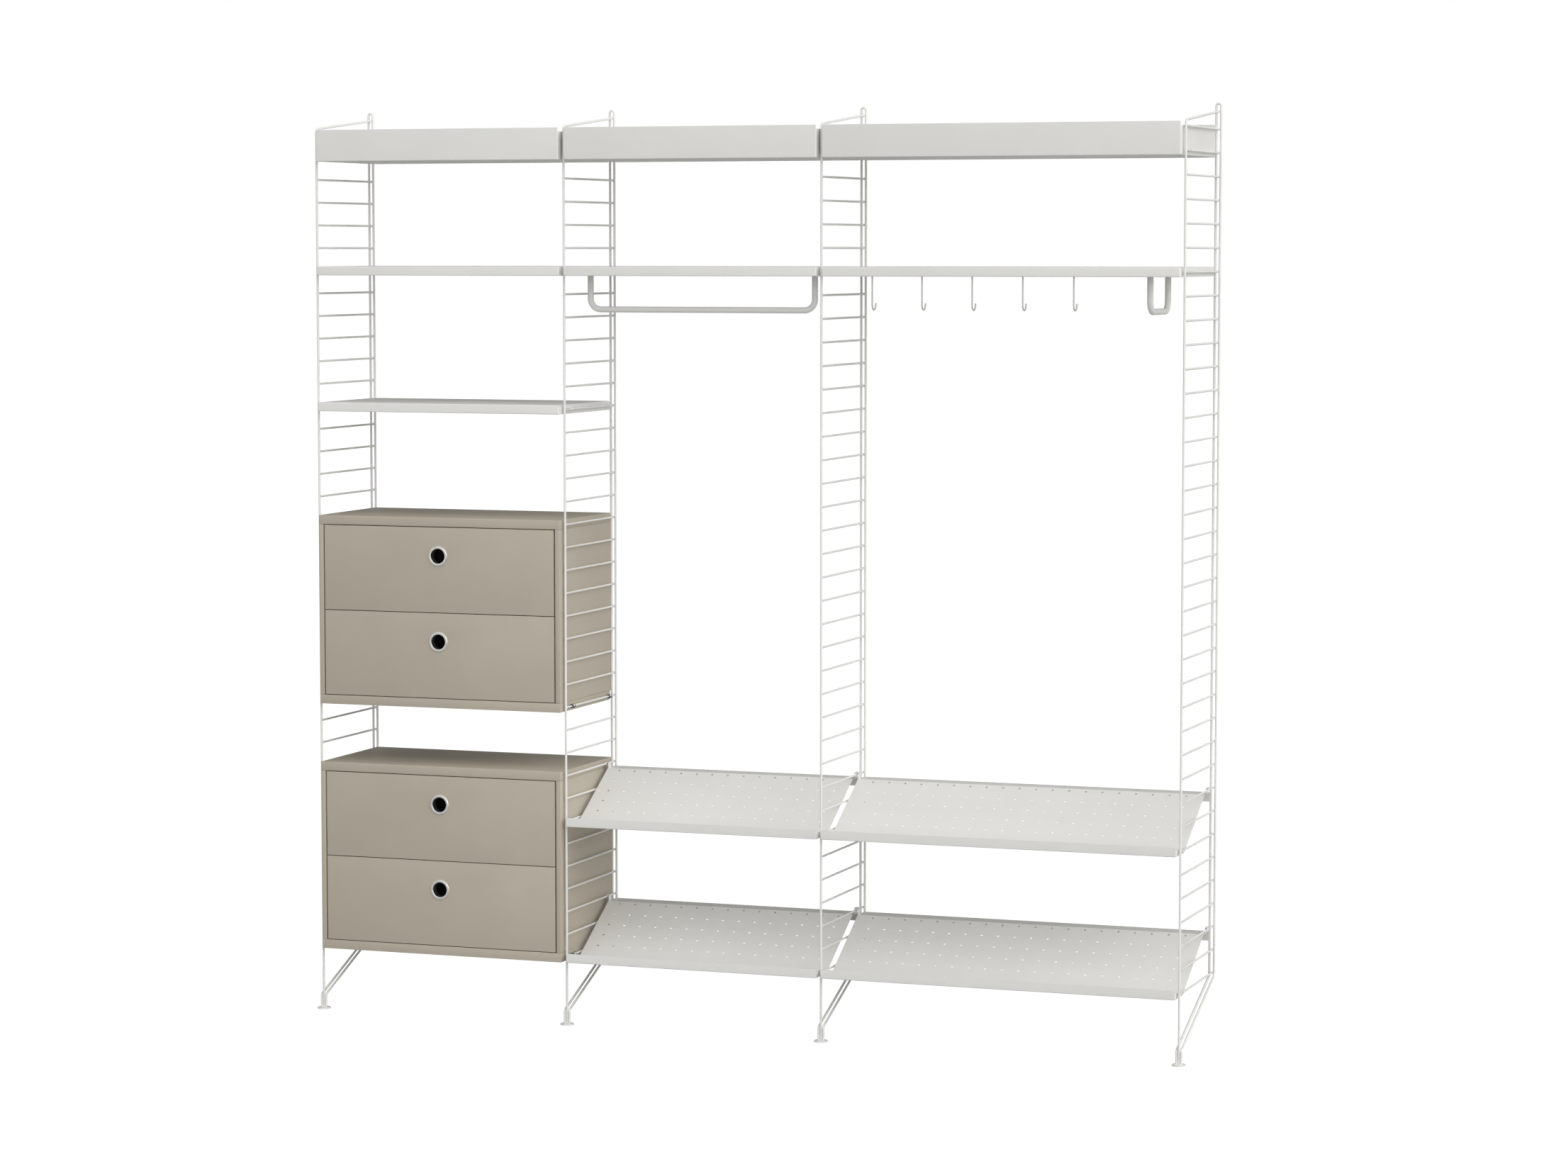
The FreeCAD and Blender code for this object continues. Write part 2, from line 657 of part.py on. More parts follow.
def main():
    os.makedirs("parts", exist_ok=True)
    panel_names = ("left", "mid_left", "mid_right", "right")
    panel = wire_panel()
    for name, x in zip(panel_names, panel_x):
        save(f"wire_panel_{name}", [panel.translated(X_AXIS * x)])
    save("foot_plates", [foot_plate(x) for x in panel_x])

    bay_names = ("left", "middle", "right")
    for bay, name in enumerate(bay_names):
        save(f"tray_{name}", [tray(bay)])
        save(f"shelf_{name}", [low_shelf(bay, shelf_rung)])
    save("shelf_left_lower", [low_shelf(0, low_shelf_rung)])
    for bay, name in enumerate(bay_names):
        if bay > 0:
            save(f"shoe_shelf_{name}_upper", [shoe_shelf(bay, upper_shoe_rungs)])
            save(f"shoe_shelf_{name}_lower", [shoe_shelf(bay, lower_shoe_rungs)])

    clothes_legs, end_legs = rail_places()
    save("clothes_rail", [hanging_rail(clothes_legs)])
    save("end_rail", [hanging_rail(end_legs)])
    save("rail_magnets", [magnet_foot(leg) for leg in clothes_legs + end_legs])
    first_hook = bay_ends(2)[0] + hook_step
    save("coat_hooks", [coat_hook(first_hook + index * hook_step) for index in range(hook_count)])

    straps, sleeves, screws = [], [], []
    for prefix, rungs in (("upper", upper_cabinet_rungs), ("lower", lower_cabinet_rungs)):
        cabinet(prefix, rungs)
        new_straps, new_sleeves, new_screws = cabinet_clips(rungs[1])
        straps += new_straps
        sleeves += new_sleeves
        screws += new_screws
    save("cabinet_clips", straps)
    save("clip_sleeves", sleeves)
    save("clip_screws", screws)


main()
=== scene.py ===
# %% [markdown]
# A wall shelving unit, dressed in Blender. Four welded wire ladders stand on round feet and lean on the
# wall. Folded trays and shelves, sloped shoe shelves and two drawer cabinets hang between them. The
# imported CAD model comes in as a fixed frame: its nodes say where every piece is, so each piece below is
# built straight into its place, in metres.

# %% Load the frame
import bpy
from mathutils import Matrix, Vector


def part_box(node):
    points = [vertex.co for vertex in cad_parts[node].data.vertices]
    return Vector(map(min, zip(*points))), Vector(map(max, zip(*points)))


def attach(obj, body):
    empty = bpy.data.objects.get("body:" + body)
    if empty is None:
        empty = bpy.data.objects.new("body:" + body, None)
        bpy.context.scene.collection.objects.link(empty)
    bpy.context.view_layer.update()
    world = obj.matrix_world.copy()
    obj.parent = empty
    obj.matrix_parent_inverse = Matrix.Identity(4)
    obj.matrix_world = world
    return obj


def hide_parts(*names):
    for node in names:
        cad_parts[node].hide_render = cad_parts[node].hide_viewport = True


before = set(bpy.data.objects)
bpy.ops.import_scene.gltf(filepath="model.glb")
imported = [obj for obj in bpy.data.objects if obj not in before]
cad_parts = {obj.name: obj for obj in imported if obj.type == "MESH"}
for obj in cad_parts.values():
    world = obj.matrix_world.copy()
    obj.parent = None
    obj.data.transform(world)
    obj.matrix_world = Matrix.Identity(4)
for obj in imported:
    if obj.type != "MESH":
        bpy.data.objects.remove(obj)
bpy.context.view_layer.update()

# %% [markdown]
# Helpers for node trees. Trees can be drawn by hand in the editor or written down. Written down, each
# node needs three or four lines, so a few helpers keep the trees readable: they add a node and plug in
# its sockets, do a step of arithmetic, carry a value over to another range, and open a new tree with
# named inputs and outputs.

# %% Helpers for node trees
import math
import bmesh
import bpy
from mathutils import Vector

MM = 0.001
scene = bpy.context.scene


def node(tree, kind, inputs=None, **settings):
    """Add a node; an input is either a socket to link or a value to set."""
    made = tree.nodes.new(kind)
    for key, value in settings.items():
        setattr(made, key, value)
    for key, value in (inputs or {}).items():
        if isinstance(value, bpy.types.NodeSocket):
            tree.links.new(value, made.inputs[key])
        else:
            made.inputs[key].default_value = value
    return made


def maths(tree, operation, *values):
    """One step of arithmetic on sockets or numbers; returns the socket of the result."""
    return node(tree, "ShaderNodeMath", dict(enumerate(values)), operation=operation).outputs[0]


def ranged(tree, value, old, new, **settings):
    """Carry a value from an old range over to a new one; returns the socket of the result."""
    ends = {"Value": value, 1: old[0], 2: old[1], 3: new[0], 4: new[1]}
    return node(tree, "ShaderNodeMapRange", ends, **settings).outputs[0]


def new_tree(name, kind, inputs, outputs):
    """A node group with named sockets; returns the tree and its input and output nodes."""
    tree = bpy.data.node_groups.new(name, kind)
    for label, socket in inputs.items():
        tree.interface.new_socket(name=label, in_out="INPUT", socket_type="NodeSocket" + socket)
    for label, socket in outputs.items():
        tree.interface.new_socket(name=label, in_out="OUTPUT", socket_type="NodeSocket" + socket)
    return tree, node(tree, "NodeGroupInput"), node(tree, "NodeGroupOutput")


print("tree helpers ready, Blender", bpy.app.version_string)

# %% [markdown]
# Helpers for objects. A shape is built point by point and then put into the scene. A geometry tree runs
# as a modifier, which could stay live, but a live modifier can still change when something else does. So
# each tree is run once and its result is kept as a plain mesh.

# %% Helpers for objects
def as_object(name, shape):
    """Put a built shape into the scene, with its place in its mesh."""
    mesh = bpy.data.meshes.new(name)
    shape.to_mesh(mesh)
    shape.free()
    obj = bpy.data.objects.new(name, mesh)
    scene.collection.objects.link(obj)
    return obj


def settle(obj):
    """Replace an object's modifiers by the plain mesh they make."""
    depsgraph = bpy.context.evaluated_depsgraph_get()
    mesh = bpy.data.meshes.new_from_object(
        obj.evaluated_get(depsgraph), preserve_all_data_layers=True, depsgraph=depsgraph
    )
    source = obj.data
    obj.modifiers.clear()
    obj.data = mesh
    bpy.data.meshes.remove(source)
    return obj


def grow(obj, tree, values):
    """Run a geometry tree on an object with these named inputs."""
    modifier = obj.modifiers.new(tree.name, "NODES")
    modifier.node_group = tree
    for item in tree.interface.items_tree:
        if item.in_out == "INPUT" and item.name in values:
            modifier[item.identifier] = values[item.name]
    return settle(obj)


def end_tree(tree, given, result, geometry):
    """End a geometry tree: make its instances real, give it its finish and put it out."""
    whole = node(tree, "GeometryNodeRealizeInstances", {0: geometry})
    coat = node(tree, "GeometryNodeSetMaterial", {0: whole.outputs[0], "Material": given.outputs["Coat"]})
    tree.links.new(coat.outputs[0], result.inputs[0])
    print("tree:", tree.name)


print("object helpers ready, one millimetre is", MM)

# %% [markdown]
# Camera. The ladder rungs are evenly spaced, so they work as rulers: a camera was fitted to the wires and
# rungs of the photograph. It stands well to the right, at about eye height, with a long lens. A shorter
# lens nearer by would also fill the frame, but the ladders would then fan apart.

# %% Camera
PHOTO_WIDTH = 2212
FOCAL_PIXELS = 5869.2
SENSOR_WIDTH = 36.0
CAMERA_PLACE = (3.0917, -8.4758, 1.6933)
CAMERA_TILT = 0.0808
CAMERA_TURN = 0.3431

lens = bpy.data.cameras.new("photo_camera")
lens.sensor_width = SENSOR_WIDTH
lens.lens = FOCAL_PIXELS / PHOTO_WIDTH * SENSOR_WIDTH
camera = bpy.data.objects.new("photo_camera", lens)
camera.location = CAMERA_PLACE
camera.rotation_euler = (math.pi / 2 - CAMERA_TILT, 0, CAMERA_TURN)
scene.collection.objects.link(camera)
scene.camera = camera
print("lens", round(lens.lens, 1), "mm")

# %% [markdown]
# Studio. The unit is photographed on white with almost no shadow. A real photographer lights the backdrop
# apart from the object; here the sky and the floor show bright white to the camera, while to every other
# ray they are calmer, so the undersides of shelves stay grey. The sky is bright in front of the unit,
# most of all to the right, and dim on the wall's side, because cabinet tops, which mirror that side, are
# darker than the fronts.

# %% Sky
DOME_FRONT = 1.14
DOME_WALL = 0.15
DOME_FROM = (0.34, -0.94, 0.0)
DOME_TURN = (-0.30, 0.30)
DOME_SIDES = (0.40, 1.60)
BACKDROP_GLOW = 1.0


def grey(level):
    """A neutral colour of one brightness."""
    return (level, level, level, 1.0)


WHITE = grey(1.0)
scene.view_settings.view_transform = "Standard"
world = bpy.data.worlds.new("studio")
world.use_nodes = True
scene.world = world
sky = world.node_tree
sky.nodes.clear()
to_camera = node(sky, "ShaderNodeLightPath").outputs["Is Camera Ray"]
toward = node(sky, "ShaderNodeTexCoord").outputs["Generated"]
facing = node(sky, "ShaderNodeVectorMath", {0: toward, 1: DOME_FROM}, operation="DOT_PRODUCT")
gain = (0.0, DOME_FRONT - DOME_WALL)
ahead = ranged(sky, facing.outputs["Value"], DOME_TURN, gain, interpolation_type="SMOOTHSTEP")
across = node(sky, "ShaderNodeSeparateXYZ", {0: toward}).outputs["X"]
aside = ranged(sky, across, (-1.0, 1.0), DOME_SIDES)
power = maths(sky, "MULTIPLY_ADD", ahead, aside, DOME_WALL)
dome = node(sky, "ShaderNodeBackground", {"Color": WHITE, "Strength": power})
seen = node(sky, "ShaderNodeBackground", {"Color": WHITE, "Strength": BACKDROP_GLOW})
both = node(sky, "ShaderNodeMixShader", {0: to_camera, 1: dome.outputs[0], 2: seen.outputs[0]})
node(sky, "ShaderNodeOutputWorld", {"Surface": both.outputs[0]})
print("sky:", DOME_WALL, "on the wall's side,", DOME_FRONT, "in front")

# %% Floor
FLOOR_GLOW = 0.96
FLOOR_SHADE = 0.16
FLOOR_BOUNCE = 0.48
FLOOR_HALF = 40.0

floor_paint = bpy.data.materials.new("studio_floor")
floor_paint.use_nodes = True
paint = floor_paint.node_tree
paint.nodes.clear()
to_camera = node(paint, "ShaderNodeLightPath").outputs["Is Camera Ray"]
glow = node(paint, "ShaderNodeEmission", {"Color": WHITE, "Strength": FLOOR_GLOW})
shade = node(paint, "ShaderNodeBsdfDiffuse", {"Color": grey(FLOOR_SHADE)})
bounce = node(paint, "ShaderNodeBsdfDiffuse", {"Color": grey(FLOOR_BOUNCE)})
shown = node(paint, "ShaderNodeAddShader", {0: glow.outputs[0], 1: shade.outputs[0]})
both = node(paint, "ShaderNodeMixShader", {0: to_camera, 1: bounce.outputs[0], 2: shown.outputs[0]})
node(paint, "ShaderNodeOutputMaterial", {"Surface": both.outputs[0]})

shape = bmesh.new()
bmesh.ops.create_grid(shape, x_segments=1, y_segments=1, size=FLOOR_HALF)
floor = as_object("studio_floor", shape)
floor.data.materials.append(floor_paint)
print("floor:", 2 * FLOOR_HALF, "m square")

# %% [markdown]
# Lamps. One broad, far lamp from the right helps the right-hand faces, evenly over the width. A single
# strong lamp would do the same for the flat faces, but it bleaches the wires and draws hard shadows. A
# second lamp shines level from behind, so that the back is seen well too. It comes from straight opposite
# the photographer, where it lights almost nothing that the photograph shows, and it is kept out of
# reflections.

# %% Lamps
KEY_STRENGTH = 0.85
KEY_FROM = (0.90, -0.20, 0.38)
KEY_SPREAD = math.radians(70)
BACK_STRENGTH = 1.5
BACK_FROM = (-math.sin(CAMERA_TURN), math.cos(CAMERA_TURN), 0.0)
BACK_SPREAD = math.radians(8)


def far_lamp(name, strength, source, spread):
    """A lamp so far away that its light is even all over the unit."""
    light = bpy.data.lights.new(name, "SUN")
    light.energy = strength
    light.angle = spread
    lamp = bpy.data.objects.new(name, light)
    lamp.rotation_euler = Vector(source).to_track_quat("Z", "Y").to_euler()
    scene.collection.objects.link(lamp)
    print(name, strength, "W per square metre")
    return lamp


far_lamp("soft_key", KEY_STRENGTH, KEY_FROM, KEY_SPREAD)
back_lamp = far_lamp("soft_back", BACK_STRENGTH, BACK_FROM, BACK_SPREAD)
back_lamp.visible_glossy = False

# %% [markdown]
# Effects shared by several finishes. Powder coat, roller lacquer, film, nylon and rubber all have a fine
# grain, a faint unevenness of tone and a gloss that wanders. That is one node group with its own values
# in each material. A surface that faces up gathers a little dust, and turned metal shows fine rings.
# Painted image maps could do all this too, but procedural noise has no seams and keeps its scale on every
# piece.

# %% Grain group
MOTTLE_PER_METRE = 9.0
MOTTLE_DETAIL = 4.0
GRAIN_DETAIL = 2.0
NOISE_RANGE = (0.3, 0.7)
BOTH_WAYS = (-1.0, 1.0)


def noise(tree, place, per_metre, detail):
    """Soft noise with so many patches to the metre; returns its socket."""
    inputs = {"Vector": place, "Scale": per_metre, "Detail": detail}
    return node(tree, "ShaderNodeTexNoise", inputs).outputs[0]


grain_tree, given, result = new_tree(
    "Coat Grain", "ShaderNodeTree",
    {"Colour": "Color", "Mottle": "Float", "Roughness": "Float", "Spread": "Float", "Grain": "Float"},
    {"Colour": "Color", "Roughness": "Float", "Height": "Float"},
)
place = node(grain_tree, "ShaderNodeTexCoord").outputs["Object"]
per_metre = maths(grain_tree, "DIVIDE", 1.0, given.outputs["Grain"])
broad = noise(grain_tree, place, MOTTLE_PER_METRE, MOTTLE_DETAIL)
fine = noise(grain_tree, place, per_metre, GRAIN_DETAIL)
swing = ranged(grain_tree, broad, NOISE_RANGE, BOTH_WAYS)
tone = maths(grain_tree, "MULTIPLY_ADD", swing, given.outputs["Mottle"], 1.0)
shaded = node(grain_tree, "ShaderNodeHueSaturation", {"Color": given.outputs["Colour"], "Value": tone})
fine_swing = ranged(grain_tree, fine, NOISE_RANGE, BOTH_WAYS)
gloss = maths(grain_tree, "MULTIPLY_ADD", fine_swing, given.outputs["Spread"], given.outputs["Roughness"])
grain_tree.links.new(shaded.outputs[0], result.inputs["Colour"])
grain_tree.links.new(gloss, result.inputs["Roughness"])
grain_tree.links.new(fine, result.inputs["Height"])
print("group:", grain_tree.name)

# %% Dust group
LEVEL_RANGE = (0.75, 1.0)
DUST_PER_METRE = 55.0
DUST_DETAIL = 6.0
DUST_ROUGHENS = 0.4

dust_tree, given, result = new_tree(
    "Settled Dust", "ShaderNodeTree",
    {"Colour": "Color", "Roughness": "Float", "Dust": "Color", "Amount": "Float"},
    {"Colour": "Color", "Roughness": "Float"},
)
facing = node(dust_tree, "ShaderNodeNewGeometry").outputs["Normal"]
upward = node(dust_tree, "ShaderNodeSeparateXYZ", {0: facing}).outputs["Z"]
level = ranged(dust_tree, upward, LEVEL_RANGE, (0.0, 1.0))
place = node(dust_tree, "ShaderNodeTexCoord").outputs["Object"]
patches = noise(dust_tree, place, DUST_PER_METRE, DUST_DETAIL)
cover = maths(dust_tree, "MULTIPLY", level, patches)
share = maths(dust_tree, "MULTIPLY", cover, given.outputs["Amount"])
dusted = node(
    dust_tree, "ShaderNodeMix",
    {0: share, 6: given.outputs["Colour"], 7: given.outputs["Dust"]}, data_type="RGBA",
)
duller = maths(dust_tree, "MULTIPLY_ADD", share, DUST_ROUGHENS, given.outputs["Roughness"])
dust_tree.links.new(dusted.outputs[2], result.inputs["Colour"])
dust_tree.links.new(duller, result.inputs["Roughness"])
print("group:", dust_tree.name)

# %% Turned rings group
ring_tree, given, result = new_tree(
    "Turned Rings", "ShaderNodeTree",
    {"Pitch": "Float", "Roughness": "Float", "Spread": "Float"},
    {"Height": "Float", "Roughness": "Float"},
)
along = node(ring_tree, "ShaderNodeAttribute", attribute_name="turn").outputs["Fac"]
turns = maths(ring_tree, "DIVIDE", along, given.outputs["Pitch"])
angle = maths(ring_tree, "MULTIPLY", turns, 2 * math.pi)
wave = maths(ring_tree, "SINE", angle)
gloss = maths(ring_tree, "MULTIPLY_ADD", wave, given.outputs["Spread"], given.outputs["Roughness"])
ring_tree.links.new(wave, result.inputs["Height"])
ring_tree.links.new(gloss, result.inputs["Roughness"])
print("group:", ring_tree.name)

# %% [markdown]
# Materials. Each slot of the record gets one. The coat hooks are coated in the same white as the rest of the
# metal, but they get a greyer copy of that coat: painted shade, for the shade they hang in under the shelf.
# The white of the metal is a shade warm, and the cabinets are lacquered in a warm grey. Coated surfaces go
# through the grain group, then the dust group; metals that are turned on a lathe go through the rings group
# and read the distance along their own profile. One plain colour for each would be quicker, but a real coat
# is never quite even.

# %% Coated and moulded surfaces
DUST_COLOUR = (0.46, 0.44, 0.41, 1.0)
GRAIN_BUMP = 0.35


def new_material(name, metallic):
    """A material with its node tree and its shader."""
    made = bpy.data.materials.new(name)
    made.use_nodes = True
    shader = made.node_tree.nodes["Principled BSDF"]
    shader.inputs["Metallic"].default_value = metallic
    print("material:", name)
    return made, made.node_tree, shader


def feed(tree, shader, colour, roughness, bump):
    """Link a colour, a roughness and a bump node to the shader."""
    tree.links.new(colour, shader.inputs["Base Color"])
    tree.links.new(roughness, shader.inputs["Roughness"])
    tree.links.new(bump.outputs[0], shader.inputs["Normal"])


def coated(name, colour, mottle, roughness, spread, grain, relief, dust=0.0, metallic=0.0, sheen=0.5):
    """A material with grain, wandering gloss and dust on faces that look up."""
    made, tree, shader = new_material(name, metallic)
    shader.inputs["Specular IOR Level"].default_value = sheen
    surface = node(
        tree, "ShaderNodeGroup",
        {"Colour": (*colour, 1.0), "Mottle": mottle, "Roughness": roughness, "Spread": spread,
         "Grain": grain},
        node_tree=grain_tree,
    ).outputs
    dusty = node(
        tree, "ShaderNodeGroup",
        {"Colour": surface["Colour"], "Roughness": surface["Roughness"], "Dust": DUST_COLOUR, "Amount": dust},
        node_tree=dust_tree,
    ).outputs
    relieved = {"Height": surface["Height"], "Strength": GRAIN_BUMP, "Distance": relief}
    feed(tree, shader, dusty["Colour"], dusty["Roughness"], node(tree, "ShaderNodeBump", relieved))
    return made


white_coat = coated(
    "white_powder_coat", (0.797, 0.791, 0.765), mottle=0.015, roughness=0.48, spread=0.06,
    grain=0.9 * MM, relief=0.05 * MM, dust=0.06, sheen=0.35,
)
# Painted shade: the hooks share the white metal's coat, but this copy is greyer to stand in for the shade
# under the shelf.
hook_painted_shade_coat = coated(
    "hook_coat_painted_shade", (0.560, 0.556, 0.540), mottle=0.015, roughness=0.44, spread=0.06,
    grain=0.8 * MM, relief=0.04 * MM, sheen=0.35,
)
beige_lacquer = coated(
    "beige_lacquer", (0.478, 0.432, 0.352), mottle=0.020, roughness=0.42, spread=0.06,
    grain=0.7 * MM, relief=0.03 * MM, dust=0.10, sheen=0.26,
)
back_film = coated(
    "beige_back_film", (0.400, 0.362, 0.300), mottle=0.030, roughness=0.55, spread=0.08,
    grain=1.2 * MM, relief=0.04 * MM,
)
drawer_film = coated(
    "light_drawer_film", (0.560, 0.515, 0.440), mottle=0.035, roughness=0.50, spread=0.08,
    grain=1.4 * MM, relief=0.04 * MM, dust=0.08,
)
nylon = coated(
    "white_nylon", (0.720, 0.715, 0.690), mottle=0.012, roughness=0.48, spread=0.05,
    grain=0.5 * MM, relief=0.02 * MM,
)
black_rubber = coated(
    "black_rubber", (0.016, 0.016, 0.017), mottle=0.080, roughness=0.62, spread=0.10,
    grain=0.6 * MM, relief=0.05 * MM,
)
zinc_strip = coated(
    "zinc_strip", (0.520, 0.525, 0.530), mottle=0.060, roughness=0.34, spread=0.10,
    grain=1.6 * MM, relief=0.02 * MM, metallic=1.0,
)

# %% Turned metals
TURNED_MOTTLE = 0.03
TURNED_SPREAD = 0.03
TURNED_GRAIN = 1.0 * MM
RING_BUMP = 0.3


def turned(name, colour, roughness, spread, pitch, relief):
    """Metal from a lathe, with fine rings along its profile."""
    made, tree, shader = new_material(name, metallic=1.0)
    surface = node(
        tree, "ShaderNodeGroup",
        {"Colour": (*colour, 1.0), "Mottle": TURNED_MOTTLE, "Roughness": roughness,
         "Spread": TURNED_SPREAD, "Grain": TURNED_GRAIN},
        node_tree=grain_tree,
    ).outputs
    rings = node(
        tree, "ShaderNodeGroup", {"Pitch": pitch, "Roughness": surface["Roughness"], "Spread": spread},
        node_tree=ring_tree,
    ).outputs
    relieved = {"Height": rings["Height"], "Strength": RING_BUMP, "Distance": relief}
    feed(tree, shader, surface["Colour"], rings["Roughness"], node(tree, "ShaderNodeBump", relieved))
    return made


satin_pull = turned(
    "satin_pull_metal", (0.900, 0.893, 0.875), roughness=0.32, spread=0.05,
    pitch=0.35 * MM, relief=0.012 * MM,
)
zinc_screw = turned(
    "zinc_screw_steel", (0.560, 0.560, 0.550), roughness=0.34, spread=0.06,
    pitch=0.40 * MM, relief=0.015 * MM,
)
nickel = turned(
    "nickel_magnet_steel", (0.610, 0.605, 0.590), roughness=0.28, spread=0.06,
    pitch=0.60 * MM, relief=0.015 * MM,
)

# %% [markdown]
# Mesh helpers. Sheet metal is a flat shape with folds, so two helpers are enough for all of it: one bends
# a strip along a line, one makes a shallow tub with rounded folds. Boards are boxes with softened edges,
# and round parts are turned from a profile. A modelled box with a Bevel and a Solidify modifier would
# look alike, but here every face keeps its exact place from the frame.

# %% Finished pieces
SHARP_ANGLE = math.radians(32)


def finished(name, shape, coat):
    """A shape as an object in the scene, with outward normals and its finish."""
    bmesh.ops.recalc_face_normals(shape, faces=shape.faces)
    obj = as_object(name, shape)
    obj.data.materials.append(coat)
    return obj


def dress(obj, body, slot, *nodes):
    """Shade a finished piece and let it ride on a body and stand for its CAD nodes."""
    obj.data.shade_smooth()
    obj.data.set_sharp_from_angle(angle=SHARP_ANGLE)
    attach(obj, body)
    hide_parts(*nodes)
    obj.data.calc_loop_triangles()
    print(obj.name, "for", ", ".join(nodes), "with", len(obj.data.loop_triangles), "triangles")
    return obj


def discard(*objects):
    """Remove templates that only served to make other pieces."""
    for obj in objects:
        bpy.data.objects.remove(obj)


print("edges sharper than", round(math.degrees(SHARP_ANGLE)), "degrees stay crisp")

# %% Rounded lines
NEARLY_STRAIGHT = 1e-4   # radians


def rounded(points, radii, steps=6):
    """A flat line through the points, with an arc of its own radius at each inner point."""
    line = [Vector(points[0])]
    for before, corner, after, radius in zip(points, points[1:], points[2:], radii):
        corner = Vector(corner)
        back = (Vector(before) - corner).normalized()
        onward = (Vector(after) - corner).normalized()
        half = back.angle(onward) / 2
        if radius <= 0 or half > math.pi / 2 - NEARLY_STRAIGHT:
            line.append(corner)
            continue
        middle = corner + (back + onward).normalized() * (radius / math.sin(half))
        first = corner + back * (radius / math.tan(half)) - middle
        last = corner + onward * (radius / math.tan(half)) - middle
        sweep = first.angle_signed(last)
        for step in range(steps + 1):
            turn = -sweep * step / steps
            cos, sin = math.cos(turn), math.sin(turn)
            line.append(middle + Vector((first.x * cos - first.y * sin, first.x * sin + first.y * cos)))
    line.append(Vector(points[-1]))
    return line


print("a rounded corner has", len(rounded([(0, 0), (1, 0), (1, 1)], [1])) - 2, "points")

# %% Bent strips
def beside(line, distance):
    """The line moved to its left by a distance."""
    runs = [(b - a).normalized() for a, b in zip(line, line[1:])]
    lefts = [Vector((-run.y, run.x)) for run in runs]
    moved = [line[0] + lefts[0] * distance]
    for point, before, after in zip(line[1:], lefts, lefts[1:]):
        moved.append(point + (before + after) * (distance / (1 + before.dot(after))))
    moved.append(line[-1] + lefts[-1] * distance)
    return moved


def bent_strip(shape, line, thickness, span, place):
    """A sheet that follows a flat line, from one end of its width to the other."""
    outline = list(line) + beside(line, thickness)[::-1]
    ends = [[shape.verts.new(place(p.x, p.y, w)) for p in outline] for w in span]
    count = len(outline)
    for k in range(count):
        n = (k + 1) % count
        shape.faces.new((ends[0][k], ends[0][n], ends[1][n], ends[1][k]))
    for end in ends:
        for k in range(len(line) - 1):
            shape.faces.new((end[k], end[k + 1], end[count - 2 - k], end[count - 1 - k]))


print("strips ready")

# %% Tubs
CORNER_STEPS = 6
LEAST_CORNER = 0.05 * MM
CORNER_PAST_FOLD = 0.5 * MM


def plan(low, high, inset, corner):
    """Points round a rectangle with rounded corners; four equal groups, front right corner first."""
    radius = max(corner - inset, LEAST_CORNER)
    x_mid, y_mid = (low[0] + high[0]) / 2, (low[1] + high[1]) / 2
    x_half = (high[0] - low[0]) / 2 - inset - radius
    y_half = (high[1] - low[1]) / 2 - inset - radius
    points = []
    for quarter, (x_side, y_side) in enumerate(((1, -1), (1, 1), (-1, 1), (-1, -1))):
        for step in range(CORNER_STEPS + 1):
            turn = math.pi / 2 * (quarter - 1 + step / CORNER_STEPS)
            x = x_mid + x_side * x_half + radius * math.cos(turn)
            y = y_mid + y_side * y_half + radius * math.sin(turn)
            points.append((x, y))
    return points


def tub(shape, low, high, floor_z, long_wall, end_wall, sheet, fold, up):
    """A folded tub: floor, rounded folds and four walls; the long walls may end at another height."""
    half = (CORNER_STEPS + 1) // 2
    group = CORNER_STEPS + 1
    walls = []
    for index in range(4 * group):
        quarter, step = divmod(index, group)
        on_long = step <= half if quarter % 2 == 0 else step > half
        walls.append(long_wall if on_long else end_wall)
    corner = fold + CORNER_PAST_FOLD
    angles = [math.pi / 2 * step / CORNER_STEPS for step in range(CORNER_STEPS + 1)]
    rings = []
    for turn in angles:
        inset, rise = fold * (1 - math.sin(turn)), fold * (1 - math.cos(turn))
        rings.append([(x, y, floor_z + up * rise) for x, y in plan(low, high, inset, corner)])
    for inset in (0, sheet):
        rings.append([(x, y, z) for (x, y), z in zip(plan(low, high, inset, corner), walls)])
    inner = fold - sheet
    for turn in reversed(angles):
        inset, rise = sheet + inner * (1 - math.sin(turn)), sheet + inner * (1 - math.cos(turn))
        rings.append([(x, y, floor_z + up * rise) for x, y in plan(low, high, inset, corner)])
    verts = [[shape.verts.new(point) for point in ring] for ring in rings]
    count = 4 * group
    for lower, upper in zip(verts, verts[1:]):
        for k in range(count):
            n = (k + 1) % count
            shape.faces.new((lower[k], lower[n], upper[n], upper[k]))
    shape.faces.new(verts[0])
    shape.faces.new(verts[-1])


print("tubs ready, with", 4 * (CORNER_STEPS + 1), "points round each level")

# %% Boards
EDGE_PROFILE = 0.5


def soften(shape, edges, radius, steps):
    """Round these edges, each once and in the order given."""
    once = list(dict.fromkeys(edges))
    bmesh.ops.bevel(
        shape, geom=once, offset=radius, segments=steps, profile=EDGE_PROFILE, affect="EDGES"
    )


def soft_box(shape, low, high, radius, steps=3):
    """A board with softened edges."""
    made = bmesh.ops.create_cube(shape, size=1.0)["verts"]
    for vert in made:
        vert.co = Vector(h if c > 0 else l for c, l, h in zip(vert.co, low, high))
    soften(shape, [edge for vert in made for edge in vert.link_edges], radius, steps)


def soft_plate(shape, outline, heights, radius, steps=3):
    """A level board of any outline with softened edges."""
    rings = [[shape.verts.new((x, y, z)) for x, y in outline] for z in heights]
    faces = [shape.faces.new(ring) for ring in rings]
    for k in range(len(outline)):
        n = (k + 1) % len(outline)
        faces.append(shape.faces.new((rings[0][k], rings[0][n], rings[1][n], rings[1][k])))
    soften(shape, [edge for face in faces for edge in face.edges], radius, steps)


print("boards ready")

# %% Turned shapes
TURNED_SIDES = 48


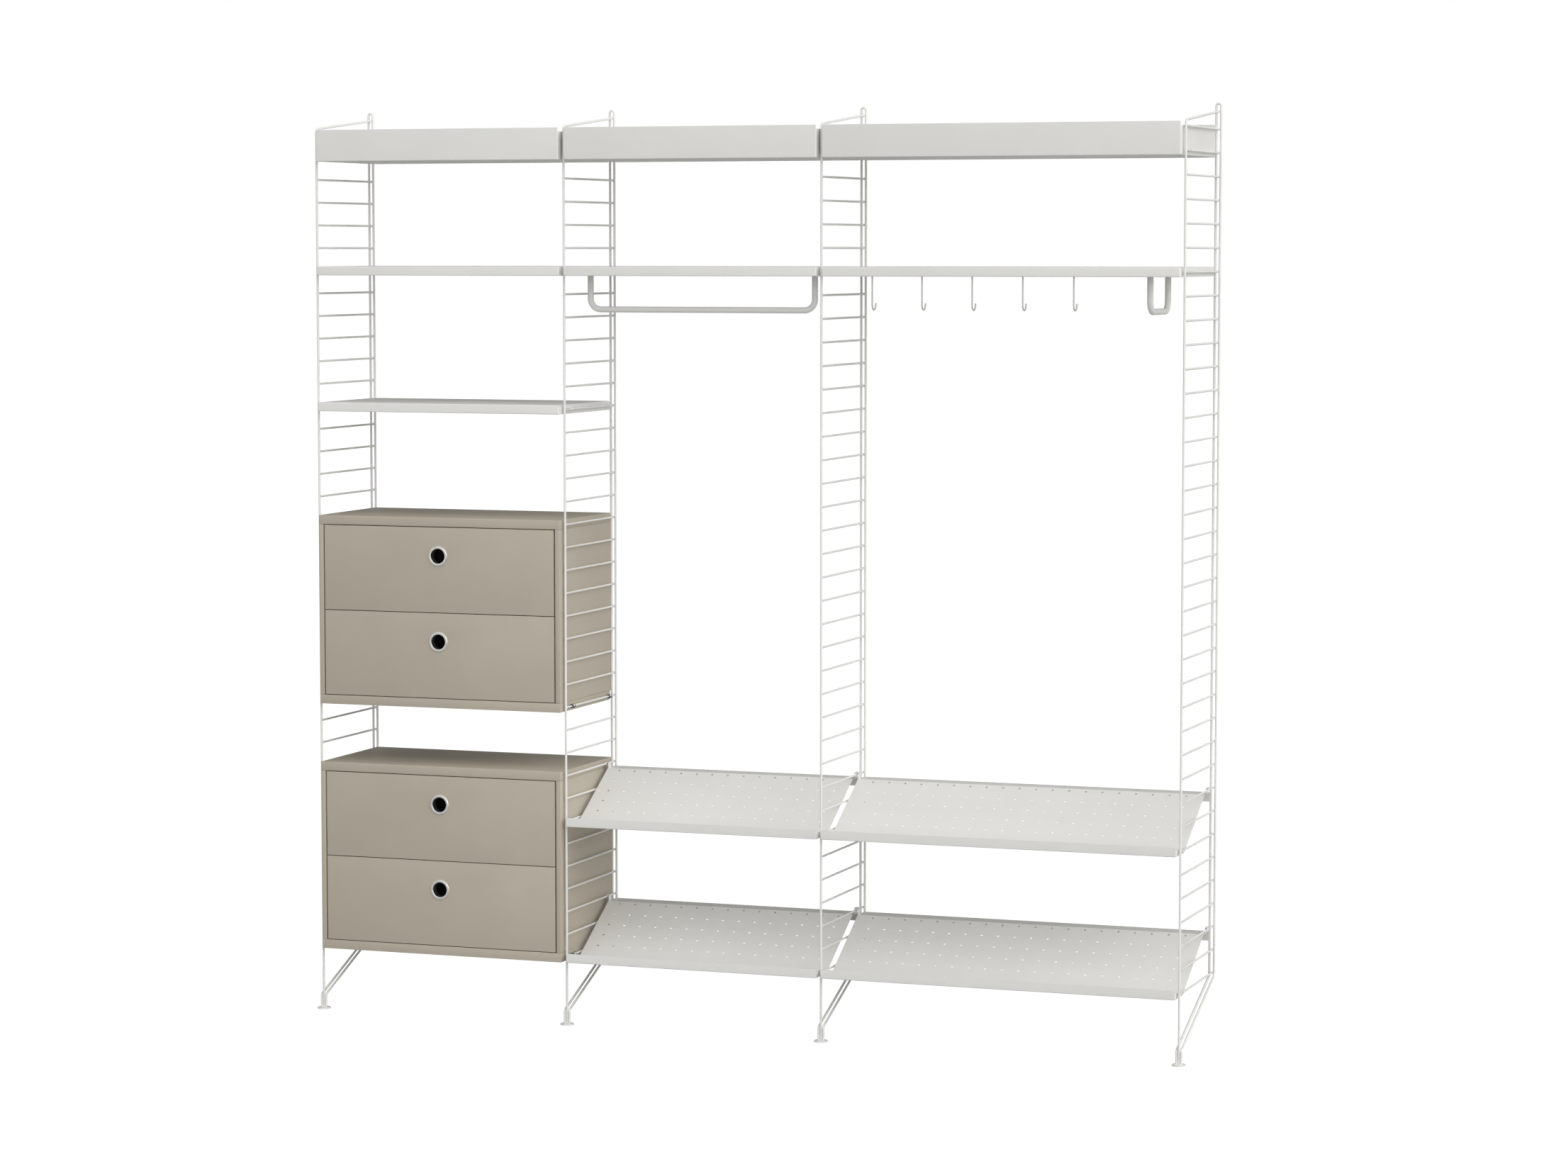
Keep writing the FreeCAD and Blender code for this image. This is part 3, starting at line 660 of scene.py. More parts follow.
def turned_piece(name, profile, coat, place, sides=TURNED_SIDES, closed=False):
    """Turn a profile of (radius, height) round its axis; `turn` keeps the distance along the profile."""
    shape = bmesh.new()
    layer = shape.verts.layers.float.new("turn")
    rings, travelled, before = [], 0.0, profile[0]
    for point in profile:
        radius, height = point
        travelled += (point - before).length
        before = point
        ring = []
        for side in range(sides if radius > 0 else 1):
            turn = 2 * math.pi * side / sides
            vert = shape.verts.new(place(radius * math.cos(turn), radius * math.sin(turn), height))
            vert[layer] = travelled
            ring.append(vert)
        rings.append(ring)
    pairs = list(zip(rings, rings[1:])) + ([(rings[-1], rings[0])] if closed else [])
    for lower, upper in pairs:
        for k in range(sides):
            n = (k + 1) % sides
            first, second = lower[k % len(lower)], lower[n % len(lower)]
            third, fourth = upper[n % len(upper)], upper[k % len(upper)]
            shape.faces.new(list(dict.fromkeys((first, second, third, fourth))))
    return finished(name, shape, coat)


def upright(a, b, h):
    """Stands a turned piece on the floor plane."""
    return (a, b, h)


print("turned pieces have", TURNED_SIDES, "sides, unless said otherwise")

# %% [markdown]
# Wire ladders. Each panel is two bent wires and 37 rungs. The front wire runs up from the foot and leans
# back as a stay; the other is one long hairpin whose two legs stand side by side at the wall and come
# forward to the foot as braces. Rungs end between the two legs and are welded there. Curves with a bevel
# would do for the wires, but a ladder follows a rule, so a Geometry Nodes tree makes it: loose edges
# carry a bend radius at each point, Fillet Curve rounds them, and Curve to Mesh gives them thickness. One
# rung, a little flared where weld and paint gather, is set out along a line.

# %% Bent wire tree
wire_tree, given, result = new_tree(
    "Bent Wire", "GeometryNodeTree",
    {"Line": "Geometry", "Diameter": "Float", "Sides": "Int", "Steps": "Int", "Coat": "Material"},
    {"Wire": "Geometry"},
)
bend = node(wire_tree, "GeometryNodeInputNamedAttribute", {"Name": "bend"}, data_type="FLOAT")
flare = node(wire_tree, "GeometryNodeInputNamedAttribute", {"Name": "flare"}, data_type="FLOAT")
line = node(wire_tree, "GeometryNodeMeshToCurve", {"Mesh": given.outputs["Line"]})
soft = node(
    wire_tree, "GeometryNodeFilletCurve",
    {"Curve": line.outputs[0], "Count": given.outputs["Steps"], "Radius": bend.outputs["Attribute"],
     "Limit Radius": True}, mode="POLY",
)
radius = maths(wire_tree, "MULTIPLY", given.outputs["Diameter"], 0.5)
ring = node(
    wire_tree, "GeometryNodeCurvePrimitiveCircle",
    {"Resolution": given.outputs["Sides"], "Radius": radius},
)
solid = node(
    wire_tree, "GeometryNodeCurveToMesh",
    {"Curve": soft.outputs[0], "Profile Curve": ring.outputs[0], "Scale": flare.outputs["Attribute"],
     "Fill Caps": True},
)
end_tree(wire_tree, given, result, solid.outputs[0])

# %% Ladder tree
WIRE_SIDES = 16
WIRE_STEPS = 8
RUNG_SIDES = 14

ladder_tree, given, result = new_tree(
    "Wire Ladder", "GeometryNodeTree",
    {"Wires": "Geometry", "Rung": "Object", "Wire Diameter": "Float", "Rung Diameter": "Float",
     "Rung Count": "Int", "Rung Pitch": "Float", "Lowest Rung": "Float", "Place": "Vector",
     "Coat": "Material"},
    {"Ladder": "Geometry"},
)
wires = node(
    ladder_tree, "GeometryNodeGroup",
    {"Line": given.outputs["Wires"], "Diameter": given.outputs["Wire Diameter"], "Sides": WIRE_SIDES,
     "Steps": WIRE_STEPS, "Coat": given.outputs["Coat"]}, node_tree=wire_tree,
)
rung_source = node(ladder_tree, "GeometryNodeObjectInfo", {"Object": given.outputs["Rung"]})
rung = node(
    ladder_tree, "GeometryNodeGroup",
    {"Line": rung_source.outputs["Geometry"], "Diameter": given.outputs["Rung Diameter"], "Sides": RUNG_SIDES,
     "Steps": 1, "Coat": given.outputs["Coat"]}, node_tree=wire_tree,
)
start = node(ladder_tree, "ShaderNodeCombineXYZ", {"Z": given.outputs["Lowest Rung"]})
step = node(ladder_tree, "ShaderNodeCombineXYZ", {"Z": given.outputs["Rung Pitch"]})
heights = node(
    ladder_tree, "GeometryNodeMeshLine",
    {"Count": given.outputs["Rung Count"], "Start Location": start.outputs[0], "Offset": step.outputs[0]},
)
rungs = node(
    ladder_tree, "GeometryNodeInstanceOnPoints",
    {"Points": heights.outputs[0], "Instance": rung.outputs[0]},
)
joined = node(ladder_tree, "GeometryNodeJoinGeometry", {0: wires.outputs[0]})
ladder_tree.links.new(rungs.outputs[0], joined.inputs[0])
moved = node(
    ladder_tree, "GeometryNodeTransform", {0: joined.outputs[0], "Translation": given.outputs["Place"]}
)
end_tree(ladder_tree, given, result, moved.outputs[0])

# %% Sizes of the ladders
WIRE = 5.0 * MM
RUNG = 4.5 * MM
RUNG_PITCH = 50.0 * MM
RUNG_COUNT = 37
LOWEST_RUNG = 150.0 * MM
LEG_STEP = 5.1 * MM
FRONT_BEND_RISE = 11.5 * MM
STAY_RISE = 37.0 * MM
CROWN_RISE = 53.5 * MM
REAR_BEND_DROP = 6.5 * MM
BRACE_DROP = 111.0 * MM
FRONT_BEND = 10.0 * MM
BRACE_BEND = 9.0 * MM
FOOT_BEND = 8.0 * MM
RUNG_TAIL = 2.2 * MM


def rung_height(index):
    """Height of a rung, counted from the top rung, which is 0."""
    return LOWEST_RUNG + RUNG_PITCH * (RUNG_COUNT - 1 - index)


panel_low, panel_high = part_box("wire_panel_left")
foot_top = panel_low.z
front_wire = panel_low.y + WIRE / 2
rear_wire = panel_high.y - WIRE / 2
top_rung = rung_height(0)
crown = top_rung + CROWN_RISE
rear_bend = LOWEST_RUNG - REAR_BEND_DROP
foot_bend = rear_bend - BRACE_DROP
print("wires stand", round((rear_wire - front_wire) / MM, 1), "mm apart, front to rear")

# %% Lines of the wires and of a rung
FRONT_FLARE_SHARE = 1.30
FRONT_WELD = ((0.3 * MM, 1.26), (1.2 * MM, 1.08), (2.6 * MM, 1.0))   # distance from the wire, flare
REAR_WELD_START = 1.6 * MM
REAR_WELD_FULL = 0.2 * MM
WELD_OVERLAP_SHARE = 0.01

front_line = [
    ((0, front_wire, foot_top), 0, 1),
    ((0, front_wire, top_rung + FRONT_BEND_RISE), FRONT_BEND, 1),
    ((0, rear_wire, top_rung + STAY_RISE), 0, 1),
]
hairpin_line = [
    ((-LEG_STEP, front_wire, foot_top), 0, 1),
    ((-LEG_STEP, front_wire, foot_bend), FOOT_BEND, 1),
    ((-LEG_STEP, rear_wire, rear_bend), BRACE_BEND, 1),
    ((-LEG_STEP, rear_wire, crown), LEG_STEP, 1),
    ((LEG_STEP, rear_wire, crown), LEG_STEP, 1),
    ((LEG_STEP, rear_wire, rear_bend), BRACE_BEND, 1),
    ((LEG_STEP, front_wire, foot_bend), FOOT_BEND, 1),
    ((LEG_STEP, front_wire, foot_top), 0, 1),
]
front_face = front_wire + WIRE / 2
rear_face = rear_wire - WIRE / 2
weld_flare = 2 * (LEG_STEP - WIRE / 2) / RUNG + WELD_OVERLAP_SHARE
rung_line = [
    ((0, front_wire, 0), 0, FRONT_FLARE_SHARE),
    *(((0, front_face + distance, 0), 0, widening) for distance, widening in FRONT_WELD),
    ((0, rear_face - REAR_WELD_START, 0), 0, 1),
    ((0, rear_face - REAR_WELD_FULL, 0), 0, weld_flare),
    ((0, rear_wire + RUNG_TAIL, 0), 0, weld_flare),
]
print("a rung is", round(weld_flare, 2), "times as wide at its rear weld")

# %% The four ladders
PANELS = ("left", "mid_left", "mid_right", "right")


def wire_lines(name, *lines):
    """Loose edges through points given as (place, bend radius, flare)."""
    shape = bmesh.new()
    bend_layer = shape.verts.layers.float.new("bend")
    flare_layer = shape.verts.layers.float.new("flare")
    for one_line in lines:
        before = None
        for place, radius, widening in one_line:
            vert = shape.verts.new(place)
            vert[bend_layer] = radius
            vert[flare_layer] = widening
            if before is not None:
                shape.edges.new((before, vert))
            before = vert
    print(name, "follows", len(lines), "lines")
    return as_object(name, shape)


rung_template = wire_lines("rung_template", rung_line)
panel_x = {}
for name in PANELS:
    low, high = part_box(f"wire_panel_{name}")
    panel_x[name] = (low.x + high.x) / 2
    ladder = wire_lines(f"ladder_{name}", front_line, hairpin_line)
    grow(ladder, ladder_tree, {
        "Rung": rung_template, "Wire Diameter": WIRE, "Rung Diameter": RUNG, "Rung Count": RUNG_COUNT,
        "Rung Pitch": RUNG_PITCH, "Lowest Rung": LOWEST_RUNG, "Place": (panel_x[name], 0.0, 0.0),
        "Coat": white_coat,
    })
    dress(ladder, "root", "white_metal", f"wire_panel_{name}")
discard(rung_template)

# %% [markdown]
# Pieces that repeat. Feet, hooks, rail magnets and the clip parts of the cabinets come in sets of equal
# pieces. Each is modelled once and set out on points by a small tree that also turns it, so left and
# right clips share one template. Copying objects would work as well, but then every copy would be a piece
# of its own.

# %% Set out tree
set_tree, given, result = new_tree(
    "Set Out", "GeometryNodeTree",
    {"Points": "Geometry", "Piece": "Object", "Coat": "Material"}, {"Set": "Geometry"},
)
turn = node(set_tree, "GeometryNodeInputNamedAttribute", {"Name": "facing"}, data_type="FLOAT")
about_z = node(set_tree, "ShaderNodeCombineXYZ", {"Z": turn.outputs["Attribute"]})
facing = node(set_tree, "FunctionNodeEulerToRotation", {0: about_z.outputs[0]})
template = node(set_tree, "GeometryNodeObjectInfo", {"Object": given.outputs["Piece"]})
copies = node(
    set_tree, "GeometryNodeInstanceOnPoints",
    {"Points": given.outputs["Points"], "Instance": template.outputs["Geometry"],
     "Rotation": facing.outputs[0]},
)
end_tree(set_tree, given, result, copies.outputs[0])

# %% Foot plates
FOOT_RADIUS = 15.0 * MM
FOOT_ROUND = 0.8 * MM
FOOT_LOWER_ROUND = 0.3 * MM


def set_out(name, template, places, coat):
    """Copies of a template at places given as (x, y, z, turn about the upright axis)."""
    shape = bmesh.new()
    layer = shape.verts.layers.float.new("facing")
    for x, y, z, angle in places:
        vert = shape.verts.new((x, y, z))
        vert[layer] = angle
    obj = as_object(name, shape)
    grow(obj, set_tree, {"Piece": template, "Coat": coat})
    discard(template)
    print(name, "has", len(places), "copies")
    return obj


foot_outline = rounded(
    [(0, 0), (FOOT_RADIUS, 0), (FOOT_RADIUS, foot_top), (0, foot_top)], [FOOT_LOWER_ROUND, FOOT_ROUND]
)
foot = turned_piece("foot_template", foot_outline, white_coat, upright)
places = [(panel_x[name], front_wire, 0, 0) for name in PANELS]
dress(set_out("round_feet", foot, places, white_coat), "root", "white_metal", "foot_plates")

# %% [markdown]
# Trays and shelves. The top row is three deep trays, and below them hang flat shelves with folded edges.
# All are bent from one sheet, so every fold has a small radius that catches light. On the trays the end
# walls stop a little lower than the front and rear. On the shelves the long edges turn in once more and
# end in a short upright hem, on which the coat hooks hang. Narrow tabs at the ends reach over the rungs.
# A thickened plane would give the walls, but not the round folds, so tub and bent strip are used.

# %% Tabs over the rungs
SHEET = 1.2 * MM
FOLD = 2.0 * MM
END_GAP = 6.0 * MM
TAB_WIDTH = 12.0 * MM
TAB_LIP = 1.0 * MM
TAB_PLAY = 0.1 * MM
TAB_ROOT = 0.4 * MM
TAB_BEND = 1.5 * MM
LEFT_TAB = 13.0 * MM
RIGHT_TAB = 33.0 * MM
REAR_TAB_MARGIN = 20.0 * MM
REAR_TAB_STEP = 14.0 * MM
BAYS = {"left": ("left", "mid_left"), "middle": ("mid_left", "mid_right"), "right": ("mid_right", "right")}
rear_tab_right = rear_face - REAR_TAB_MARGIN - TAB_WIDTH
rear_tab_left = rear_tab_right - REAR_TAB_STEP
rung_clear = RUNG / 2 + TAB_PLAY


def bay_ends(bay):
    """Where the pieces of a bay end, left and right."""
    left, right = (panel_x[name] for name in BAYS[bay])
    return left + END_GAP, right - END_GAP


def rung_tab(shape, end_x, rung_x, start_y, z):
    """A tab from the end of a sheet, over the rung and down its far side."""
    side = 1 if rung_x > end_x else -1
    top = z + rung_clear + SHEET
    tip = rung_x + side * (rung_clear + SHEET)
    line = rounded([(end_x - side * TAB_ROOT, top), (tip, top), (tip, z - TAB_LIP)], [TAB_BEND])
    bent_strip(shape, line, -side * SHEET, (start_y, start_y + TAB_WIDTH), lambda u, v, w: (u, w, v))


def end_tabs(shape, bay, z):
    """The four tabs of a tray or shelf that hangs on one rung."""
    left, right = (panel_x[name] for name in BAYS[bay])
    ends = bay_ends(bay)
    rung_tab(shape, ends[0], left, front_wire + LEFT_TAB, z)
    rung_tab(shape, ends[0], left, rear_tab_left, z)
    rung_tab(shape, ends[1], right, front_wire + RIGHT_TAB, z)
    rung_tab(shape, ends[1], right, rear_tab_right, z)


for bay in BAYS:
    print("bay", bay, "is", round((bay_ends(bay)[1] - bay_ends(bay)[0]) / MM), "mm wide")

# %% Trays
TRAY_RUNG = 1
TRAY_SIDE = 61.0 * MM
shelf_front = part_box("upper_cabinet_top")[0].y
shelf_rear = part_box("upper_cabinet_top")[1].y
for bay in BAYS:
    low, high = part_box(f"tray_{bay}")
    left_end, right_end = bay_ends(bay)
    shape = bmesh.new()
    tub(
        shape, (left_end, shelf_front), (right_end, shelf_rear), floor_z=low.z, long_wall=high.z,
        end_wall=low.z + TRAY_SIDE, sheet=SHEET, fold=FOLD, up=1,
    )
    end_tabs(shape, bay, rung_height(TRAY_RUNG))
    dress(finished(f"tray_sheet_{bay}", shape, white_coat), "root", "white_metal", f"tray_{bay}")

# %% Shelves
RETURN_DEPTH = 8.0 * MM
HEM_HEIGHT = 6.0 * MM
HEM_FOLD = 1.8 * MM
FOLD_SLACK = 0.01 * MM
SHELF_RUNGS = {"shelf_left": 6, "shelf_middle": 6, "shelf_right": 6, "shelf_left_lower": 12}
SHELF_EDGE = 20.0 * MM
for name, rung_index in SHELF_RUNGS.items():
    bay = name.split("_")[1]
    left_end, right_end = bay_ends(bay)
    base = rung_height(rung_index) - SHELF_EDGE / 2
    shape = bmesh.new()
    tub(
        shape, (left_end, shelf_front), (right_end, shelf_rear), floor_z=base + SHELF_EDGE,
        long_wall=base + HEM_FOLD, end_wall=base, sheet=SHEET, fold=FOLD, up=-1,
    )
    for edge, inward in ((shelf_front, 1), (shelf_rear, -1)):
        hem = edge + inward * RETURN_DEPTH
        line = rounded(
            [(edge, base + HEM_FOLD), (edge, base), (hem, base), (hem, base + HEM_HEIGHT)],
            [HEM_FOLD - FOLD_SLACK, HEM_FOLD],
        )
        span = (left_end + FOLD, right_end - FOLD)
        bent_strip(shape, line, inward * SHEET, span, lambda u, v, w: (w, u, v))
    end_tabs(shape, bay, rung_height(rung_index))
    dress(finished(f"sheet_{name}", shape, white_coat), "root", "white_metal", name)

# %% [markdown]
# Shoe shelves. A shoe shelf is one bent sheet: an upright lip, a flat strip for the toes, a slope with
# rows of small holes, a ledge and a flange at the back. The holes are a grid of short cylinders that a
# tree subtracts from the sheet in one go. Cutting them by hand in the mesh would fix their number; here
# the tree takes rows, columns and the slope as inputs, and the same tree bores the finger holes of the
# drawers.

# %% Perforation tree
hole_tree, given, result = new_tree(
    "Perforate", "GeometryNodeTree",
    {"Sheet": "Geometry", "Columns": "Int", "Rows": "Int", "Column Span": "Float", "Row Span": "Float",
     "Centre": "Vector", "Tilt": "Float", "Hole Diameter": "Float", "Depth": "Float", "Sides": "Int",
     "Coat": "Material"},
    {"Sheet": "Geometry"},
)
grid = node(
    hole_tree, "GeometryNodeMeshGrid",
    {"Size X": given.outputs["Column Span"], "Size Y": given.outputs["Row Span"],
     "Vertices X": given.outputs["Columns"], "Vertices Y": given.outputs["Rows"]},
)
radius = maths(hole_tree, "MULTIPLY", given.outputs["Hole Diameter"], 0.5)
cutter = node(
    hole_tree, "GeometryNodeMeshCylinder",
    {"Vertices": given.outputs["Sides"], "Radius": radius, "Depth": given.outputs["Depth"]},
)
cutters = node(
    hole_tree, "GeometryNodeInstanceOnPoints", {"Points": grid.outputs[0], "Instance": cutter.outputs[0]}
)
tilt = node(hole_tree, "ShaderNodeCombineXYZ", {"X": given.outputs["Tilt"]})
leaning = node(hole_tree, "FunctionNodeEulerToRotation", {0: tilt.outputs[0]})
laid = node(
    hole_tree, "GeometryNodeTransform",
    {0: cutters.outputs[0], "Translation": given.outputs["Centre"], "Rotation": leaning.outputs[0]},
)
solid = node(hole_tree, "GeometryNodeRealizeInstances", {0: laid.outputs[0]})
cut = node(
    hole_tree, "GeometryNodeMeshBoolean",
    {"Mesh 1": given.outputs["Sheet"], "Mesh 2": solid.outputs[0]}, operation="DIFFERENCE", solver="EXACT",
)
end_tree(hole_tree, given, result, cut.outputs[0])

# %% Perforated sheet
SHOE_BASE = 72.0 * MM
SHOE_LEDGE = 48.0 * MM
SHOE_FLANGE = 20.0 * MM
SHOE_BEND = 4.0 * MM
HOLE = 5.0 * MM
HOLE_PITCH = 37.0 * MM
HOLE_SIDES = 16
ROW_MARGIN = 7.0 * MM
COLUMN_MARGIN = 28.0 * MM
CUT_DEPTH = 6 * SHEET


def shoe_sheet(name, ends, front_rung, rear_rung):
    """The bent sheet of a shoe shelf, with rows of holes in its slope."""
    base, ledge = front_rung - SHELF_EDGE / 2, rear_rung - SHELF_EDGE / 2
    toe = Vector((shelf_front + SHOE_BASE, base))
    heel = Vector((shelf_rear - SHOE_LEDGE, ledge))
    back = shelf_rear - SHEET
    points = [(shelf_front, base + SHELF_EDGE), (shelf_front, base), toe, heel]
    points += [(back, ledge), (back, ledge - SHOE_FLANGE)]
    shape = bmesh.new()
    line = rounded(points, [FOLD, SHOE_BEND, FOLD, FOLD])
    bent_strip(shape, line, SHEET, ends, lambda u, v, w: (w, u, v))
    slope = heel - toe
    middle = (toe + heel) / 2
    columns = int((ends[1] - ends[0] - 2 * COLUMN_MARGIN) / HOLE_PITCH) + 1
    rows = int((slope.length - 2 * ROW_MARGIN) / HOLE_PITCH) + 1
    print(name, "has", rows, "rows of", columns, "holes")
    return grow(finished(name, shape, white_coat), hole_tree, {
        "Columns": columns, "Rows": rows, "Column Span": (columns - 1) * HOLE_PITCH,
        "Row Span": (rows - 1) * HOLE_PITCH, "Centre": (sum(ends) / 2, middle.x, middle.y),
        "Tilt": math.atan2(slope.y, slope.x), "Hole Diameter": HOLE, "Depth": CUT_DEPTH,
        "Sides": HOLE_SIDES, "Coat": white_coat,
    })


print("holes of", round(HOLE / MM), "mm, every", round(HOLE_PITCH / MM), "mm")

# %% Shoe shelves with their ends
CHEEK_MARGIN = 2.0 * MM
CHEEK_INSET = 0.02 * MM
CHEEK_LIFT = 0.1 * MM
CHEEK_ROUND = 0.2 * MM
CHEEK_STEPS = 2
LEFT_SHOE_TAB = 5.0 * MM
RIGHT_SHOE_TAB = 20.0 * MM
SHOE_RUNGS = {"upper": (30, 28), "lower": (36, 34)}


def shoe_end(shape, end_x, rung_x, front_tab, rear_tab, front_rung, rear_rung):
    """One end of a shoe shelf: a cheek in front, an upstand at the back, and a tab on each."""
    inward = 1 if rung_x < end_x else -1
    thick = sorted((end_x + inward * CHEEK_INSET, end_x + inward * SHEET))
    cheek = (shelf_front + CHEEK_INSET, front_tab + TAB_WIDTH + CHEEK_MARGIN)
    upstand = (rear_tab - CHEEK_MARGIN, rear_tab + TAB_WIDTH + CHEEK_MARGIN)
    cheek_base = front_rung - SHELF_EDGE / 2 + CHEEK_LIFT
    upstand_base = rear_rung - SHELF_EDGE / 2
    for depth, bottom, rung_z in ((cheek, cheek_base, front_rung), (upstand, upstand_base, rear_rung)):
        low = (thick[0], depth[0], bottom)
        high = (thick[1], depth[1], rung_z + rung_clear + SHEET)
        soft_box(shape, low, high, CHEEK_ROUND, CHEEK_STEPS)
    rung_tab(shape, end_x, rung_x, front_tab, front_rung)
    rung_tab(shape, end_x, rung_x, rear_tab, rear_rung)


for bay in ("middle", "right"):
    left, right = (panel_x[name] for name in BAYS[bay])
    ends = bay_ends(bay)
    for level, indices in SHOE_RUNGS.items():
        held_at = [rung_height(index) for index in indices]
        sheet = shoe_sheet(f"shoe_sheet_{bay}_{level}", ends, *held_at)
        shape = bmesh.new()
        shape.from_mesh(sheet.data)
        shoe_end(shape, ends[0], left, front_wire + LEFT_SHOE_TAB, rear_tab_left, *held_at)
        shoe_end(shape, ends[1], right, front_wire + RIGHT_SHOE_TAB, rear_tab_right, *held_at)
        bmesh.ops.recalc_face_normals(shape, faces=shape.faces)
        shape.to_mesh(sheet.data)
        shape.free()
        dress(sheet, "root", "white_metal", f"shoe_shelf_{bay}_{level}")

# %% [markdown]
# Rails and hooks. Two U-shaped tubes hang under the shelves: a long one along its bay and a short one
# that runs front to back. Five hooks of thin wire hang on the hem of the right shelf. All of them follow
# a line, so the bent wire tree of the ladders makes them too. A Bezier curve with a bevel would do for
# one tube, but its bends are harder to hold at an exact radius.

# %% Hanging rails
RAIL = 13.0 * MM
RAIL_BEND = 23.5 * MM
RAIL_SIDES = 28
RAIL_STEPS = 14
RAIL_AXES = {"clothes_rail": 0, "end_rail": 1}


def rail_legs(name):
    """Where the two legs of a rail stand, along the axis that its bar follows."""
    axis = RAIL_AXES[name]
    low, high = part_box(name)
    legs = []
    for at in (low[axis] + RAIL / 2, high[axis] - RAIL / 2):
        leg = (low + high) / 2
        leg[axis] = at
        legs.append(leg)
    return legs


for name in RAIL_AXES:
    low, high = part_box(name)
    bar = low.z + RAIL / 2
    first, last = rail_legs(name)
    rail_line = [
        ((first.x, first.y, high.z), 0, 1),
        ((first.x, first.y, bar), RAIL_BEND, 1),
        ((last.x, last.y, bar), RAIL_BEND, 1),
        ((last.x, last.y, high.z), 0, 1),
    ]
    rail = wire_lines(f"{name}_tube", rail_line)
    grow(rail, wire_tree, {"Diameter": RAIL, "Sides": RAIL_SIDES, "Steps": RAIL_STEPS, "Coat": white_coat})
    dress(rail, "root", "white_metal", name)

# %% Rail magnets
MAGNET_RADIUS = 13.0 * MM
MAGNET_ROUND = 0.6 * MM
MAGNET_UPPER_ROUND = 0.3 * MM
low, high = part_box("rail_magnets")
thickness = high.z - low.z
magnet_outline = rounded(
    [(0, 0), (MAGNET_RADIUS, 0), (MAGNET_RADIUS, thickness), (0, thickness)],
    [MAGNET_ROUND, MAGNET_UPPER_ROUND],
)
magnet = turned_piece("magnet_template", magnet_outline, nickel, upright)
places = [(leg.x, leg.y, low.z, 0) for name in RAIL_AXES for leg in rail_legs(name)]
dress(set_out("magnet_feet", magnet, places, nickel), "root", "magnet_steel", "rail_magnets")

# %% Coat hooks
HOOK = 3.2 * MM
HOOK_COUNT = 5
HOOK_RADIUS = 12.0 * MM
HOOK_TIP = 2.0 * MM
HOOK_BACK = 3.0 * MM
HOOK_SIDES = 14
HOOK_STEPS = 10
END_ROUND = 0.5 * MM
END_WIDTH_SHARE = 0.7
low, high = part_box("coat_hooks")
hook_back, hook_end = low.y + HOOK / 2, high.y - HOOK / 2
shank = hook_end - 2 * HOOK_RADIUS
crook = (shank - hook_back) / 2
hook_top, hook_low = high.z - HOOK / 2, low.z + HOOK / 2
back_end = hook_top - crook - HOOK_BACK
tip_end = hook_low + HOOK_RADIUS + HOOK_TIP
hook_line = [
    ((0, hook_back, back_end), 0, END_WIDTH_SHARE),
    ((0, hook_back, back_end + END_ROUND), 0, 1),
    ((0, hook_back, hook_top), crook, 1),
    ((0, shank, hook_top), crook, 1),
    ((0, shank, hook_low), HOOK_RADIUS, 1),
    ((0, hook_end, hook_low), HOOK_RADIUS, 1),
    ((0, hook_end, tip_end - END_ROUND), 0, 1),
    ((0, hook_end, tip_end), 0, END_WIDTH_SHARE),
]
hook = wire_lines("hook_template", hook_line)
# The hooks take the greyer copy of the white coat, which paints in the shade under the shelf.
grow(hook, wire_tree, {"Diameter": HOOK, "Sides": HOOK_SIDES, "Steps": HOOK_STEPS, "Coat": hook_painted_shade_coat})
first, last = low.x + HOOK / 2, high.x - HOOK / 2
places = [(first + (last - first) * k / (HOOK_COUNT - 1), 0, 0, 0) for k in range(HOOK_COUNT)]
dress(set_out("wire_hooks", hook, places, hook_painted_shade_coat), "root", "white_metal", "coat_hooks")

# %% [markdown]
# Drawer cabinets. Each cabinet is a box of lacquered board with two drawers behind flush fronts. The
# board edges are only just softened, which shows as a thin light line. Both bottom boards are notched at
# their rear corners, because the lower one sits where the rear wires bend forward. Each front has a round
# finger hole lined with a turned metal ring. A Boolean modifier could bore each front, but the
# perforation tree already does that, with a grid of one hole.

# %% Cabinet boards
BOARD_ROUND = 1.2 * MM
NOTCHED_ROUND = 0.72 * MM
NOTCH_WIDTH = 2.0 * MM
NOTCH_LENGTH = 12.5 * MM
CABINETS = ("upper", "lower")


def notched_outline(low, high):
    """A board seen from above, with a notch at each rear corner."""
    inner = (low.x + NOTCH_WIDTH, high.x - NOTCH_WIDTH)
    notch = high.y - NOTCH_LENGTH
    return [
        (low.x, low.y), (high.x, low.y), (high.x, notch), (inner[1], notch),
        (inner[1], high.y), (inner[0], high.y), (inner[0], notch), (low.x, notch),
    ]


for cabinet in CABINETS:
    for board in ("top", "bottom", "left_side", "right_side"):
        name = f"{cabinet}_cabinet_{board}"
        low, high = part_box(name)
        shape = bmesh.new()
        if board == "bottom":
            soft_plate(shape, notched_outline(low, high), (low.z, high.z), NOTCHED_ROUND)
        else:
            soft_box(shape, low, high, BOARD_ROUND)
        dress(finished(f"{name}_board", shape, beige_lacquer), "root", "beige_board", name)

